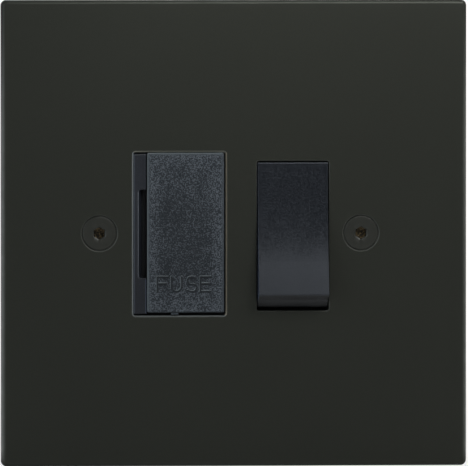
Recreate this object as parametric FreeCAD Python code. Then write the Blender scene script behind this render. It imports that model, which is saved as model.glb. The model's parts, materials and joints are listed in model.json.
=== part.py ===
"""A switched fused spur unit: a square metal face plate with a fuse drawer and a double pole rocker
switch, carried by an insulating housing that stands in the wall box behind it.

Millimetres. X runs to the right and Z up, as seen from the room, and Y runs into the wall. The origin
is on the wall plane, halfway between the two fixing holes, so the plate stands in front of Y = 0 and
the housing behind it. The rocker is drawn in its OFF position and the drawer is shut.
"""

import FreeCAD
import Part

import math
import os

Vector = FreeCAD.Vector
X_AXIS = Vector(1, 0, 0)
Y_AXIS = Vector(0, 1, 0)
Z_AXIS = Vector(0, 0, 1)

# How far a cutter runs past the face it cuts
CUT_PAST = 1.0

# Face plate
FIXING_CENTRES = 60.3
PLATE_WIDTH = 107.2
PLATE_HEIGHT = 107.2
PLATE_THICKNESS = 3.0
PLATE_OFFSET_X = 0.9
PLATE_CORNER_RADIUS = 1.3
PLATE_FRONT_ROUND = 0.9
FUSE_APERTURE_BEVEL = 0.35
ROCKER_APERTURE_BEVEL = 0.2
APERTURE_CORNER_RADIUS = 0.5

# Fixing screws, with countersunk socket heads
FIXING_SHANK_RADIUS = 1.75
FIXING_NECK_RADIUS = 1.45
FIXING_LENGTH = 25.0
FIXING_HEAD_RADIUS = 3.9
FIXING_HEAD_RIM = 0.35
FIXING_HEAD_SUNK = 0.05
FIXING_HEAD_ROUND = 0.2
FIXING_HOLE_CLEARANCE = 0.3
FIXING_RECESS_GAP = 0.25
FIXING_RECESS_BEVEL = 0.15
SOCKET_ACROSS_FLATS = 2.5
SOCKET_DEPTH = 1.9
SOCKET_BEVEL = 0.2

# Fuse aperture and the smooth strip that stands in its left side
FUSE_APERTURE_WIDTH = 21.2
FUSE_APERTURE_HEIGHT = 37.53
FUSE_APERTURE_X = -11.7
FUSE_APERTURE_Z = -0.165
SEAT_CLEARANCE = 0.05
STRIP_WIDTH = 2.95
STRIP_END_GAP = 0.33
STRIP_ROUND = 0.3
PRY_SLOT_LENGTH = 20.4
PRY_SLOT_WIDTH = 1.8
PRY_SLOT_FLOOR = 0.65
PRY_SLOT_DEPTH = 2.3
PRY_SLOT_CORNER = 0.6

# Fuse drawer
COVER_LEFT_GAP = 0.16
COVER_RIGHT_GAP = 0.31
COVER_TOP_GAP = 0.12
COVER_BOTTOM_GAP = 0.68
COVER_PROUD = 0.35
COVER_THICKNESS = 2.15
COVER_CORNER_RADIUS = 0.4
COVER_ROUND = 0.35
COVER_SEAT_GAP = 0.15
NUB_WIDTH = 1.65
NUB_LENGTH = 0.5
NUB_OFFSET_X = -2.5
DRAWER_TRAVEL = 16.0
ARM_THICKNESS = 1.4
ARM_WIDTH = 13.0
ARM_END = 19.0
ARM_FUSE_GAP = 0.3
HOOK_HEIGHT = 0.9
HOOK_LENGTH = 1.4
HOOK_WIDTH = 4.0
CRADLE_HEIGHT = 11.0
CRADLE_WALL = 1.2
CRADLE_MOUTH = 1.75
CRADLE_WINDOW_WALL = 0.9

# Lettering that stands up from the drawer's cover
LETTER_HEIGHT = 3.75
LETTER_STROKE = 0.42
LETTER_RISE = 0.15
LETTER_F_WIDTH = 2.84
LETTER_U_WIDTH = 2.77
LETTER_S_WIDTH = 2.54
LETTER_E_WIDTH = 2.75
GAP_F_TO_U = 0.42
GAP_U_TO_S = 0.9
GAP_S_TO_E = 0.48
ARM_DROP = 0.1
ARM_SHORTFALL = 0.42
WORD_SHIFT = -0.45
WORD_DROP = 11.83

# Cartridge fuse
FUSE_LENGTH = 25.4
FUSE_CAP_RADIUS = 3.175
FUSE_CAP_LENGTH = 5.5
FUSE_CAP_WALL = 0.3
FUSE_CAP_ROUND = 0.3
FUSE_BARREL_GAP = 0.02
FUSE_BARREL_CLEARANCE = 0.2
FUSE_DEPTH = 6.5

# Rocker
ROCKER_APERTURE_WIDTH = 16.6
ROCKER_APERTURE_HEIGHT = 34.43
ROCKER_X = 14.43
ROCKER_Z = -0.665
ROCKER_SIDE_GAP = 0.24
ROCKER_END_GAP = 0.3
ROCKER_PIVOT_DEPTH = 6.5
ROCKER_SWING = 16.0
ROCKER_FACE_TILT = 6.0
ROCKER_FACE_BLEND = 7.5
ROCKER_EDGE_ROUND = 0.3
ROCKER_FLARE = 0.89
ROCKER_FLARE_DEPTH = 3.3
ROCKER_SKIRT = 1.0
ROCKER_SKIN = 1.7
ROCKER_END_WALL = 1.5
ROCKER_SIDE_WALL = 1.3
TRUNNION_RADIUS = 1.5
TRUNNION_CLEARANCE = 0.05
LUG_RADIUS = 2.6
PLUNGER_BOSS_WIDTH = 4.8
PLUNGER_BOSS_REACH = 4.0
PLUNGER_RADIUS = 1.3
PLUNGER_CLEARANCE = 0.05
PLUNGER_REACH = 7.0
PLUNGER_SHANK = 4.2
PLUNGER_BORE_TOP = 6.0
SPRING_WIRE_RADIUS = 0.2
SPRING_COIL_RADIUS = 0.95
SPRING_TURNS = 7

# Front moulding
FLANGE_THICKNESS = 2.0
GUIDE_GAP = 0.15
GUIDE_WALL = 1.2
GUIDE_DEPTH = 12.0
CHEEK_THICKNESS = 1.1
CHEEK_MARGIN = 3.5
CHEEK_HEIGHT = 12.0
WELL_GAP = 0.35
WELL_WALL = 1.2
WELL_SIDE_GAP = 0.15
LEDGE_GAP = 0.15
LEDGE_REACH = 1.95

# Rear housing
HOUSING_HEIGHT = 58.0
HOUSING_DEPTH = 25.0
HOUSING_CORNER_RADIUS = 2.0
HOUSING_WALL = 1.5
HOUSING_REAR_WALL = 1.8
HOUSING_REAR_ROUND = 0.8
BARRIER_THICKNESS = 1.0
BARRIER_MARGIN = 0.6
ACCESS_BEVEL = 0.3

# Marks cut in the housing's back beside the terminals
MARK_HALF_WIDTH = 0.9
MARK_HALF_HEIGHT = 1.3
MARK_STROKE = 0.35
MARK_DEPTH = 0.25
MARK_GAP = 0.9

# Contacts, one pole each side of the rocker's middle
POLE_SPACING = 8.4
CONTACT_WIDTH = 4.0
STRIP_THICKNESS = 0.8
BAR_GAP = 0.15
BAR_SWING = 18.0
BAR_REACH = 10.2
BAR_PIVOT_RADIUS = 0.8
BAR_PIVOT_INSET = 0.3
BAR_PIVOT_CLEARANCE = 0.05
CONTACT_RADIUS = 1.5
CONTACT_HEIGHT = 0.7
CONTACT_ARM = 9.0
CONTACT_GAP = 0.1
SADDLE_HEIGHT = 3.2
SADDLE_GAP = 0.45
BRACKET_GAP = 1.2
STRIP_GAP = 1.5

# Fuse clips
CLIP_GAP = 0.12
CLIP_WIDTH = 4.6
CLIP_SHEET = 0.6
CLIP_END_GAP = 0.5
CLIP_BASE_GAP = 0.55
CLIP_LIP = 1.0
CLIP_LIP_FLARE = 0.5
CLIP_RISE = 2.9
CLIP_LEG_WIDTH = 4.0

# Terminals
TERMINAL_WIDTH = 6.8
TERMINAL_HEIGHT = 8.0
TERMINAL_DEPTH = 10.0
TERMINAL_END_GAP = 0.1
TERMINAL_GAP = 1.2
TERMINAL_ROUND = 0.6
WIRE_HOLE_RADIUS = 2.25
WIRE_HOLE_DEPTH = 7.0
WIRE_HOLE_WALL = 1.25
WIRE_ENTRY_RADIUS = 2.6
LOAD_EARTH_X = 2.0
TERMINAL_SCREW_RADIUS = 1.75
TERMINAL_SCREW_CLEARANCE = 0.03
TERMINAL_HEAD_RADIUS = 2.3
TERMINAL_HEAD_HEIGHT = 1.4
TERMINAL_HEAD_GAP = 0.3
SCREW_SLOT_WIDTH = 0.7
SCREW_SLOT_DEPTH = 0.7

# Earthing
EARTH_LINK_WIDTH = 3.0
EARTH_LINK_GAP = 0.5
EARTH_STRAP_WIDTH = 5.0
EARTH_STRAP_MARGIN = 0.8
EARTH_WINDOW_GAP = 0.6
EARTH_HEAD_RADIUS = 2.2
EARTH_HEAD_HEIGHT = 1.6

# Assembly screws, from the back of the housing into the plate
ASSEMBLY_RADIUS = 1.25
ASSEMBLY_CLEARANCE = 0.1
ASSEMBLY_HEAD_RADIUS = 1.8
ASSEMBLY_HEAD_HEIGHT = 1.4
ASSEMBLY_BOSS_RADIUS = 2.0
BOSS_INSET = 1.0
BOSS_TERMINAL_GAP = 0.2
BOSS_WELL_GAP = 0.8
THREAD_CLEARANCE = 0.02
THREAD_DEPTH = 2.0

# Places that follow from the sizes above
PLATE_FRONT = -PLATE_THICKNESS
FUSE_APERTURE_LEFT = FUSE_APERTURE_X - FUSE_APERTURE_WIDTH / 2
FUSE_APERTURE_RIGHT = FUSE_APERTURE_X + FUSE_APERTURE_WIDTH / 2
FUSE_APERTURE_TOP = FUSE_APERTURE_Z + FUSE_APERTURE_HEIGHT / 2
FUSE_APERTURE_BOTTOM = FUSE_APERTURE_Z - FUSE_APERTURE_HEIGHT / 2
STRIP_LEFT = FUSE_APERTURE_LEFT + SEAT_CLEARANCE
STRIP_RIGHT = STRIP_LEFT + STRIP_WIDTH
COVER_LEFT = STRIP_RIGHT + COVER_LEFT_GAP
COVER_RIGHT = FUSE_APERTURE_RIGHT - COVER_RIGHT_GAP
COVER_TOP = FUSE_APERTURE_TOP - COVER_TOP_GAP
COVER_BOTTOM = FUSE_APERTURE_BOTTOM + COVER_BOTTOM_GAP
COVER_FRONT = PLATE_FRONT - COVER_PROUD
COVER_BACK = COVER_FRONT + COVER_THICKNESS
FUSE_X = (COVER_LEFT + COVER_RIGHT) / 2
FUSE_Z = (COVER_TOP + COVER_BOTTOM) / 2
FUSE_BARREL_RADIUS = FUSE_CAP_RADIUS - FUSE_CAP_WALL - FUSE_BARREL_GAP
ARM_INNER = FUSE_LENGTH / 2 + ARM_FUSE_GAP
ARM_OUTER = ARM_INNER + ARM_THICKNESS
GUIDE_HALF_WIDTH = ARM_WIDTH / 2 + GUIDE_GAP
GUIDE_HALF_HEIGHT = ARM_OUTER + GUIDE_GAP

ROCKER_WIDTH = ROCKER_APERTURE_WIDTH - 2 * ROCKER_SIDE_GAP
ROCKER_HALF = ROCKER_APERTURE_HEIGHT / 2 - ROCKER_END_GAP
ROCKER_LEFT = ROCKER_X - ROCKER_WIDTH / 2
ROCKER_RIGHT = ROCKER_X + ROCKER_WIDTH / 2
PIVOT = Vector(ROCKER_X, ROCKER_PIVOT_DEPTH, ROCKER_Z)
PIVOT_TO_FRONT = ROCKER_PIVOT_DEPTH - PLATE_FRONT
WELL_HALF = math.hypot(ROCKER_HALF, ROCKER_PIVOT_DEPTH) + WELL_GAP
WELL_RIGHT = ROCKER_X + ROCKER_APERTURE_WIDTH / 2 + CHEEK_THICKNESS
WELL_BOTTOM = abs(ROCKER_Z) + WELL_HALF + WELL_WALL
LEDGE_FRONT = ROCKER_FLARE_DEPTH + ROCKER_SKIRT + LEDGE_GAP

POLE_X = {"live": ROCKER_X - POLE_SPACING / 2, "neutral": ROCKER_X + POLE_SPACING / 2}
BAR_FRONT = ROCKER_PIVOT_DEPTH + PLUNGER_REACH + BAR_GAP
BAR_BACK = BAR_FRONT + STRIP_THICKNESS
BAR_PIVOT_Y = BAR_BACK + BAR_PIVOT_INSET
CONTACT_Z = ROCKER_Z + CONTACT_ARM
BAR_DROP = BAR_REACH * math.sin(math.radians(BAR_SWING / 2))
BRACKET_FRONT = BAR_BACK + BAR_DROP + BRACKET_GAP
BRACKET_BACK = BRACKET_FRONT + STRIP_THICKNESS
STRIP_FRONT = max(BRACKET_BACK + STRIP_GAP, ARM_END + CLIP_END_GAP)
STRIP_BACK = STRIP_FRONT + STRIP_THICKNESS

HOUSING_FLOOR = HOUSING_DEPTH - HOUSING_REAR_WALL
TERMINAL_FRONT = HOUSING_FLOOR - TERMINAL_DEPTH
TERMINAL_Z = HOUSING_HEIGHT / 2 - HOUSING_WALL - TERMINAL_END_GAP - TERMINAL_HEIGHT / 2
TERMINAL_INNER = TERMINAL_Z - TERMINAL_HEIGHT / 2
WIRE_HOLE_Y = TERMINAL_FRONT + WIRE_HOLE_WALL + WIRE_HOLE_RADIUS
BARRIER_X = POLE_X["live"] + CONTACT_WIDTH / 2 + (TERMINAL_GAP + BARRIER_THICKNESS) / 2
SUPPLY_LIVE_X = BARRIER_X - (TERMINAL_WIDTH + TERMINAL_GAP) / 2
NEUTRAL_X = BARRIER_X + (TERMINAL_WIDTH + TERMINAL_GAP) / 2
EARTH_LINK_BACK = HOUSING_FLOOR - EARTH_LINK_GAP
EARTH_LINK_FRONT = EARTH_LINK_BACK - STRIP_THICKNESS

# The housing is as wide as the rocker's well, or the terminals and bosses, need
BOSS_TO_MIDDLE = NEUTRAL_X + TERMINAL_WIDTH / 2 + BOSS_TERMINAL_GAP + ASSEMBLY_BOSS_RADIUS
HOUSING_INNER_HALF = max(WELL_RIGHT + WELL_SIDE_GAP, BOSS_TO_MIDDLE + BOSS_INSET)
HOUSING_WIDTH = 2 * (HOUSING_INNER_HALF + HOUSING_WALL)
ASSEMBLY_X = HOUSING_INNER_HALF - BOSS_INSET
ASSEMBLY_Z = max(TERMINAL_Z, WELL_BOTTOM + BOSS_WELL_GAP + ASSEMBLY_BOSS_RADIUS)

# The earth strap's foot lies on the plate's back between these heights
EARTH_STRAP_BOTTOM = TERMINAL_INNER + EARTH_STRAP_MARGIN
EARTH_FOOT_LENGTH = 2 * EARTH_HEAD_RADIUS + 2 * STRIP_THICKNESS + EARTH_STRAP_MARGIN
EARTH_STRAP_TOP = EARTH_STRAP_BOTTOM + EARTH_FOOT_LENGTH
EARTH_SCREW_Z = (EARTH_STRAP_BOTTOM + EARTH_STRAP_TOP) / 2

# The strips of the lower fuse clip start at this height
LOWER_CLIP_BOTTOM = FUSE_Z - FUSE_LENGTH / 2 + FUSE_CAP_LENGTH / 2 - CLIP_WIDTH / 2

# Each terminal's place across the housing, and the side of the housing it is on
TERMINALS = {
    "supply_live": (SUPPLY_LIVE_X, -1),
    "supply_neutral": (NEUTRAL_X, -1),
    "supply_earth": (FUSE_X, -1),
    "load_live": (FUSE_X, 1),
    "load_neutral": (NEUTRAL_X, 1),
    "load_earth": (LOAD_EARTH_X, 1),
}


def block(x_range, y_range, z_range):
    """A box between three pairs of limits."""
    low = Vector(min(x_range), min(y_range), min(z_range))
    high = Vector(max(x_range), max(y_range), max(z_range))
    size = high.sub(low)
    return Part.makeBox(size.x, size.y, size.z, low)


def around(middle, width):
    """The pair of limits that lie a width apart about a middle."""
    return (middle - width / 2, middle + width / 2)


def rod(radius, start, end):
    """A round bar from one point to another."""
    along = end.sub(start)
    return Part.makeCylinder(radius, along.Length, start, along)


def fuse_all(shapes):
    """One solid from several that meet."""
    joined = shapes[0].fuse(shapes[1:])
    return joined.removeSplitter()


def edges_along(shape, axis):
    """The straight edges of a shape that run along an axis."""
    found = []
    for edge in shape.Edges:
        ends = [vertex.Point for vertex in edge.Vertexes]
        if len(ends) == 2:
            run = ends[1].sub(ends[0])
            if run.cross(axis).Length < 1e-6 and abs(run.Length - edge.Length) < 1e-6:
                found.append(edge)
    return found


def edges_at_depth(shape, depth):
    """The edges of a shape that lie in the plane Y = depth."""
    found = []
    for edge in shape.Edges:
        box = edge.BoundBox
        if abs(box.YMin - depth) < 1e-4 and abs(box.YMax - depth) < 1e-4:
            found.append(edge)
    return found


def rounded_block(x_range, y_range, z_range, radius):
    """A box whose four edges along Y are rounded."""
    body = block(x_range, y_range, z_range)
    return body.makeFillet(radius, edges_along(body, Y_AXIS))


def turned(profile, start):
    """A solid turned about an axis along Y through a point, from (radius, depth) pairs."""
    points = [Vector(start.x + radius, depth, start.z) for radius, depth in profile]
    face = Part.Face(Part.makePolygon(points + points[:1]))
    return face.revolve(Vector(start.x, 0, start.z), Y_AXIS, 360)


def prism_along_z(points, z_range):
    """A solid with an outline of (x, y) points, running between two heights."""
    low, high = min(z_range), max(z_range)
    corners = [Vector(x, y, low) for x, y in points]
    face = Part.Face(Part.makePolygon(corners + corners[:1]))
    return face.extrude(Vector(0, 0, high - low))


def bevel_front_edges(body, x_range, z_range, size):
    """Bevel the edges on the plate's front that lie inside a rectangle."""
    chosen = []
    for edge in edges_at_depth(body, PLATE_FRONT):
        middle = edge.BoundBox.Center
        inside_x = min(x_range) <= middle.x <= max(x_range)
        inside_z = min(z_range) <= middle.z <= max(z_range)
        if inside_x and inside_z:
            chosen.append(edge)
    return body.makeChamfer(size, chosen)


def countersink(x):
    """The cutter for one fixing hole, with its recess for the screw's head."""
    recess_radius = FIXING_HEAD_RADIUS + FIXING_RECESS_GAP
    hole_radius = FIXING_SHANK_RADIUS + FIXING_HOLE_CLEARANCE
    rim_end = PLATE_FRONT + FIXING_HEAD_SUNK + FIXING_HEAD_RIM
    cone_start = rim_end + SEAT_CLEARANCE - FIXING_RECESS_GAP
    cone_end = cone_start + recess_radius - hole_radius
    profile = [
        (0, PLATE_FRONT - CUT_PAST),
        (recess_radius + FIXING_RECESS_BEVEL + CUT_PAST, PLATE_FRONT - CUT_PAST),
        (recess_radius, PLATE_FRONT + FIXING_RECESS_BEVEL),
        (recess_radius, cone_start),
        (hole_radius, cone_end),
        (hole_radius, CUT_PAST),
        (0, CUT_PAST),
    ]
    return turned(profile, Vector(x, 0, 0))


def threaded_hole(x, z):
    """The cutter for one blind threaded hole in the plate's back."""
    radius = ASSEMBLY_RADIUS + THREAD_CLEARANCE
    return rod(radius, Vector(x, CUT_PAST, z), Vector(x, -THREAD_DEPTH, z))


def assembly_places():
    """The four corners where the assembly screws stand."""
    return [(x, z) for x in (-ASSEMBLY_X, ASSEMBLY_X) for z in (-ASSEMBLY_Z, ASSEMBLY_Z)]


def front_plate():
    """The square metal plate, with its two apertures and its fixing holes."""
    x_range = around(PLATE_OFFSET_X, PLATE_WIDTH)
    z_range = around(0, PLATE_HEIGHT)
    plate = rounded_block(x_range, (PLATE_FRONT, 0), z_range, PLATE_CORNER_RADIUS)
    plate = plate.makeFillet(PLATE_FRONT_ROUND, edges_at_depth(plate, PLATE_FRONT))

    fuse_x = around(FUSE_APERTURE_X, FUSE_APERTURE_WIDTH)
    fuse_z = around(FUSE_APERTURE_Z, FUSE_APERTURE_HEIGHT)
    rocker_x = around(ROCKER_X, ROCKER_APERTURE_WIDTH)
    rocker_z = around(ROCKER_Z, ROCKER_APERTURE_HEIGHT)
    through = (PLATE_FRONT - CUT_PAST, CUT_PAST)
    plate = plate.cut(rounded_block(fuse_x, through, fuse_z, APERTURE_CORNER_RADIUS))
    plate = plate.cut(rounded_block(rocker_x, through, rocker_z, APERTURE_CORNER_RADIUS))
    for x in (-FIXING_CENTRES / 2, FIXING_CENTRES / 2):
        plate = plate.cut(countersink(x))
    for x, z in assembly_places():
        plate = plate.cut(threaded_hole(x, z))
    plate = plate.cut(threaded_hole(LOAD_EARTH_X, EARTH_SCREW_Z))

    plate = bevel_front_edges(plate, fuse_x, fuse_z, FUSE_APERTURE_BEVEL)
    plate = bevel_front_edges(plate, rocker_x, rocker_z, ROCKER_APERTURE_BEVEL)
    return plate


def hexagon_socket(x, front):
    """The cutter for a hexagon socket whose corners point up and down, with a bevelled mouth."""
    corner = SOCKET_ACROSS_FLATS / math.sqrt(3)
    points = []
    for step in range(7):
        angle = math.radians(60 * step + 90)
        points.append(Vector(x + corner * math.cos(angle), front, corner * math.sin(angle)))
    socket = Part.Face(Part.makePolygon(points)).extrude(Vector(0, SOCKET_DEPTH, 0))
    mouth = Part.makeCone(corner + SOCKET_BEVEL, corner, SOCKET_BEVEL, Vector(x, front, 0), Y_AXIS)
    return socket.fuse(mouth)


def fixing_screw(x):
    """One countersunk screw, which runs through the plate into the wall box's lug."""
    front = PLATE_FRONT + FIXING_HEAD_SUNK
    cone_start = front + FIXING_HEAD_RIM
    cone_end = cone_start + FIXING_HEAD_RADIUS - FIXING_NECK_RADIUS
    end = front + FIXING_LENGTH
    point = FIXING_SHANK_RADIUS / 3
    profile = [
        (0, front),
        (FIXING_HEAD_RADIUS - FIXING_HEAD_ROUND, front),
        (FIXING_HEAD_RADIUS, front + FIXING_HEAD_ROUND),
        (FIXING_HEAD_RADIUS, cone_start),
        (FIXING_NECK_RADIUS, cone_end),
        (FIXING_NECK_RADIUS, 0),
        (FIXING_SHANK_RADIUS, 0),
        (FIXING_SHANK_RADIUS, end - point),
        (FIXING_SHANK_RADIUS - point, end),
        (0, end),
    ]
    screw = turned(profile, Vector(x, 0, 0))
    return screw.cut(hexagon_socket(x, front))


def pry_slot():
    """The cutter for the notch that a screwdriver reaches into to start the drawer."""
    left = STRIP_RIGHT - PRY_SLOT_WIDTH
    floor_left = STRIP_RIGHT - PRY_SLOT_FLOOR
    floor = PLATE_FRONT + PRY_SLOT_DEPTH
    above = PLATE_FRONT - CUT_PAST
    slope = (floor_left - left) / PRY_SLOT_DEPTH
    right = STRIP_RIGHT + CUT_PAST
    points = [
        (right, above),
        (left - slope * CUT_PAST, above),
        (floor_left, floor),
        (right, floor),
    ]
    cutter = prism_along_z(points, around(FUSE_APERTURE_Z, PRY_SLOT_LENGTH))
    sloping = []
    for edge in cutter.Edges:
        box = edge.BoundBox
        if box.ZLength < 1e-6 and box.YLength > PRY_SLOT_DEPTH and box.XMax < right - 1e-6:
            sloping.append(edge)
    return cutter.makeFillet(PRY_SLOT_CORNER, sloping)


def drawer_strip():
    """The smooth strip that fills the left side of the fuse aperture."""
    z_range = (FUSE_APERTURE_BOTTOM + STRIP_END_GAP, FUSE_APERTURE_TOP - STRIP_END_GAP)
    y_range = (PLATE_FRONT, FLANGE_THICKNESS / 2)
    strip = block((STRIP_LEFT, STRIP_RIGHT), y_range, z_range)
    strip = strip.makeFillet(STRIP_ROUND, edges_at_depth(strip, PLATE_FRONT))
    return strip.cut(pry_slot())


def drawer_guide():
    """The outside of the sleeve behind the fuse aperture that the drawer's arms slide in."""
    outer_x = around(FUSE_X, 2 * (GUIDE_HALF_WIDTH + GUIDE_WALL))
    outer_z = around(FUSE_Z, 2 * (GUIDE_HALF_HEIGHT + GUIDE_WALL))
    return block(outer_x, (0, GUIDE_DEPTH), outer_z)


def drawer_passage():
    """The space the drawer slides through, and the slots its hooks run in."""
    inner_x = around(FUSE_X, 2 * GUIDE_HALF_WIDTH)
    inner_z = around(FUSE_Z, 2 * GUIDE_HALF_HEIGHT)
    passage = block(inner_x, (PLATE_FRONT, GUIDE_DEPTH + CUT_PAST), inner_z)
    slot_start = ARM_END - HOOK_LENGTH - DRAWER_TRAVEL - LEDGE_GAP
    slot_x = around(FUSE_X, HOOK_WIDTH + 2 * GUIDE_GAP)
    slot_z = around(FUSE_Z, 2 * (ARM_OUTER + HOOK_HEIGHT + GUIDE_GAP))
    return passage.fuse(block(slot_x, (slot_start, GUIDE_DEPTH + CUT_PAST), slot_z))


def cover_seat():
    """The low rim inside the fuse aperture that the drawer's cover closes against."""
    inset = SEAT_CLEARANCE
    x_range = (FUSE_APERTURE_LEFT + inset, FUSE_APERTURE_RIGHT - inset)
    z_range = (FUSE_APERTURE_BOTTOM + inset, FUSE_APERTURE_TOP - inset)
    y_range = (COVER_BACK + COVER_SEAT_GAP, FLANGE_THICKNESS / 2)
    return rounded_block(x_range, y_range, z_range, APERTURE_CORNER_RADIUS)


def rocker_well():
    """The frame behind the rocker aperture: two bearing cheeks and the ledges that stop the rocker."""
    opening_x = around(ROCKER_X, ROCKER_APERTURE_WIDTH)
    outer_x = around(ROCKER_X, ROCKER_APERTURE_WIDTH + 2 * CHEEK_THICKNESS)
    ledge_back = LEDGE_FRONT + WELL_WALL
    frame = block(outer_x, (0, ledge_back), around(ROCKER_Z, 2 * (WELL_HALF + WELL_WALL)))
    cheek_back = ROCKER_PIVOT_DEPTH + CHEEK_MARGIN
    cheeks = block(outer_x, (0, cheek_back), around(ROCKER_Z, CHEEK_HEIGHT))
    well = frame.fuse(cheeks)
    well = well.cut(block(opening_x, (-CUT_PAST, LEDGE_FRONT), around(ROCKER_Z, 2 * WELL_HALF)))
    through_z = around(ROCKER_Z, 2 * (WELL_HALF - LEDGE_REACH))
    well = well.cut(block(opening_x, (-CUT_PAST, cheek_back + CUT_PAST), through_z))
    start = Vector(min(outer_x) - CUT_PAST, PIVOT.y, PIVOT.z)
    end = Vector(max(outer_x) + CUT_PAST, PIVOT.y, PIVOT.z)
    return well.cut(rod(TRUNNION_RADIUS + TRUNNION_CLEARANCE, start, end))


def earth_window():
    """The opening in the flange where the earth strap's foot meets the plate."""
    x_range = around(LOAD_EARTH_X, EARTH_STRAP_WIDTH + 2 * EARTH_WINDOW_GAP)
    z_range = (EARTH_STRAP_BOTTOM - EARTH_WINDOW_GAP, EARTH_STRAP_TOP + EARTH_WINDOW_GAP)
    return block(x_range, (-CUT_PAST, FLANGE_THICKNESS + CUT_PAST), z_range)


def front_moulding():
    """The inner moulding behind the plate, which guides the drawer and carries the rocker."""
    outline_x = around(0, HOUSING_WIDTH)
    outline_z = around(0, HOUSING_HEIGHT)
    flange = rounded_block(outline_x, (0, FLANGE_THICKNESS), outline_z, HOUSING_CORNER_RADIUS)
    opening_x = around(ROCKER_X, ROCKER_APERTURE_WIDTH)
    opening_z = around(ROCKER_Z, 2 * WELL_HALF)
    through = (-CUT_PAST, FLANGE_THICKNESS + CUT_PAST)
    flange = flange.cut(block(opening_x, through, opening_z))
    body = fuse_all([flange, cover_seat(), drawer_strip(), drawer_guide(), rocker_well()])
    body = body.cut(drawer_passage())
    body = body.cut(earth_window())
    hole = ASSEMBLY_RADIUS + ASSEMBLY_CLEARANCE
    for x, z in assembly_places():
        body = body.cut(rod(hole, Vector(x, min(through), z), Vector(x, max(through), z)))
    return body


def stroke_bar(x_range, z_range):
    """One straight stroke of a letter, standing up from the cover's front."""
    return block(x_range, (COVER_FRONT - LETTER_RISE, COVER_BACK), z_range)


def stroke_arc(middle_x, middle_z, radius, first, last):
    """One curved stroke of a letter, between two angles from the right, anticlockwise in degrees."""
    outer = radius + LETTER_STROKE / 2
    inner = radius - LETTER_STROKE / 2
    middle = Vector(0, 0, 0)
    depth = COVER_BACK - COVER_FRONT + LETTER_RISE
    sector = Part.makeCylinder(outer, depth, middle, Z_AXIS, last - first)
    sector = sector.cut(Part.makeCylinder(inner, depth))
    sector.rotate(middle, Z_AXIS, first)
    sector.rotate(middle, X_AXIS, 90)
    sector.translate(Vector(middle_x, COVER_BACK, middle_z))
    return sector


def letter_f(left, bottom, width=LETTER_F_WIDTH):
    """The strokes of an F."""
    top = bottom + LETTER_HEIGHT
    middle = bottom + LETTER_HEIGHT / 2 + ARM_DROP
    right = left + width
    stem = stroke_bar((left, left + LETTER_STROKE), (bottom, top))
    head = stroke_bar((left, right), (top - LETTER_STROKE, top))
    arm = stroke_bar((left, right - ARM_SHORTFALL), around(middle, LETTER_STROKE))
    return [stem, head, arm]


def letter_e(left, bottom):
    """The strokes of an E."""
    foot = stroke_bar((left, left + LETTER_E_WIDTH), (bottom, bottom + LETTER_STROKE))
    return letter_f(left, bottom, LETTER_E_WIDTH) + [foot]


def letter_u(left, bottom):
    """The strokes of a U."""
    radius = (LETTER_U_WIDTH - LETTER_STROKE) / 2
    turn_z = bottom + LETTER_STROKE / 2 + radius
    top = bottom + LETTER_HEIGHT
    right = left + LETTER_U_WIDTH
    left_stem = stroke_bar((left, left + LETTER_STROKE), (turn_z, top))
    right_stem = stroke_bar((right - LETTER_STROKE, right), (turn_z, top))
    bend = stroke_arc((left + right) / 2, turn_z, radius, 180, 360)
    return [left_stem, right_stem, bend]


def letter_s(left, bottom):
    """The strokes of an S: two bends, joined by a short bar, and two hooks."""
    half = LETTER_STROKE / 2
    radius = (LETTER_HEIGHT - LETTER_STROKE) / 4
    near = left + half + radius
    far = left + LETTER_S_WIDTH - half - radius
    low = bottom + half + radius
    high = low + 2 * radius
    strokes = [
        stroke_arc(near, high, radius, 90, 270),
        stroke_arc(far, low, radius, -90, 90),
        stroke_arc(far, high, radius, 25, 90),
        stroke_arc(near, low, radius, 205, 270),
    ]
    for z in (high + radius, high - radius, low - radius):
        strokes.append(stroke_bar((near, far), around(z, LETTER_STROKE)))
    return strokes


def lettering():
    """The strokes of the word on the cover, letter by letter."""
    letters = [
        (letter_f, LETTER_F_WIDTH, GAP_F_TO_U),
        (letter_u, LETTER_U_WIDTH, GAP_U_TO_S),
        (letter_s, LETTER_S_WIDTH, GAP_S_TO_E),
        (letter_e, LETTER_E_WIDTH, 0),
    ]
    word_width = sum(width + gap for _, width, gap in letters)
    left = FUSE_X + WORD_SHIFT - word_width / 2
    bottom = FUSE_Z - WORD_DROP - LETTER_HEIGHT / 2
    strokes = []
    for letter, width, gap in letters:
        strokes += letter(left, bottom)
        left += width + gap
    return strokes


def drawer_arm(side):
    """One end arm of the drawer with its stop hook, above (1) or below (-1) the fuse."""
    x_range = around(FUSE_X, ARM_WIDTH)
    inner = FUSE_Z + side * ARM_INNER
    outer = FUSE_Z + side * ARM_OUTER
    arm = block(x_range, (COVER_BACK - CRADLE_WALL, ARM_END), (inner, outer))
    hook_z = (inner, outer + side * HOOK_HEIGHT)
    hook = block(around(FUSE_X, HOOK_WIDTH), (ARM_END - HOOK_LENGTH, ARM_END), hook_z)
    return arm.fuse(hook)


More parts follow.
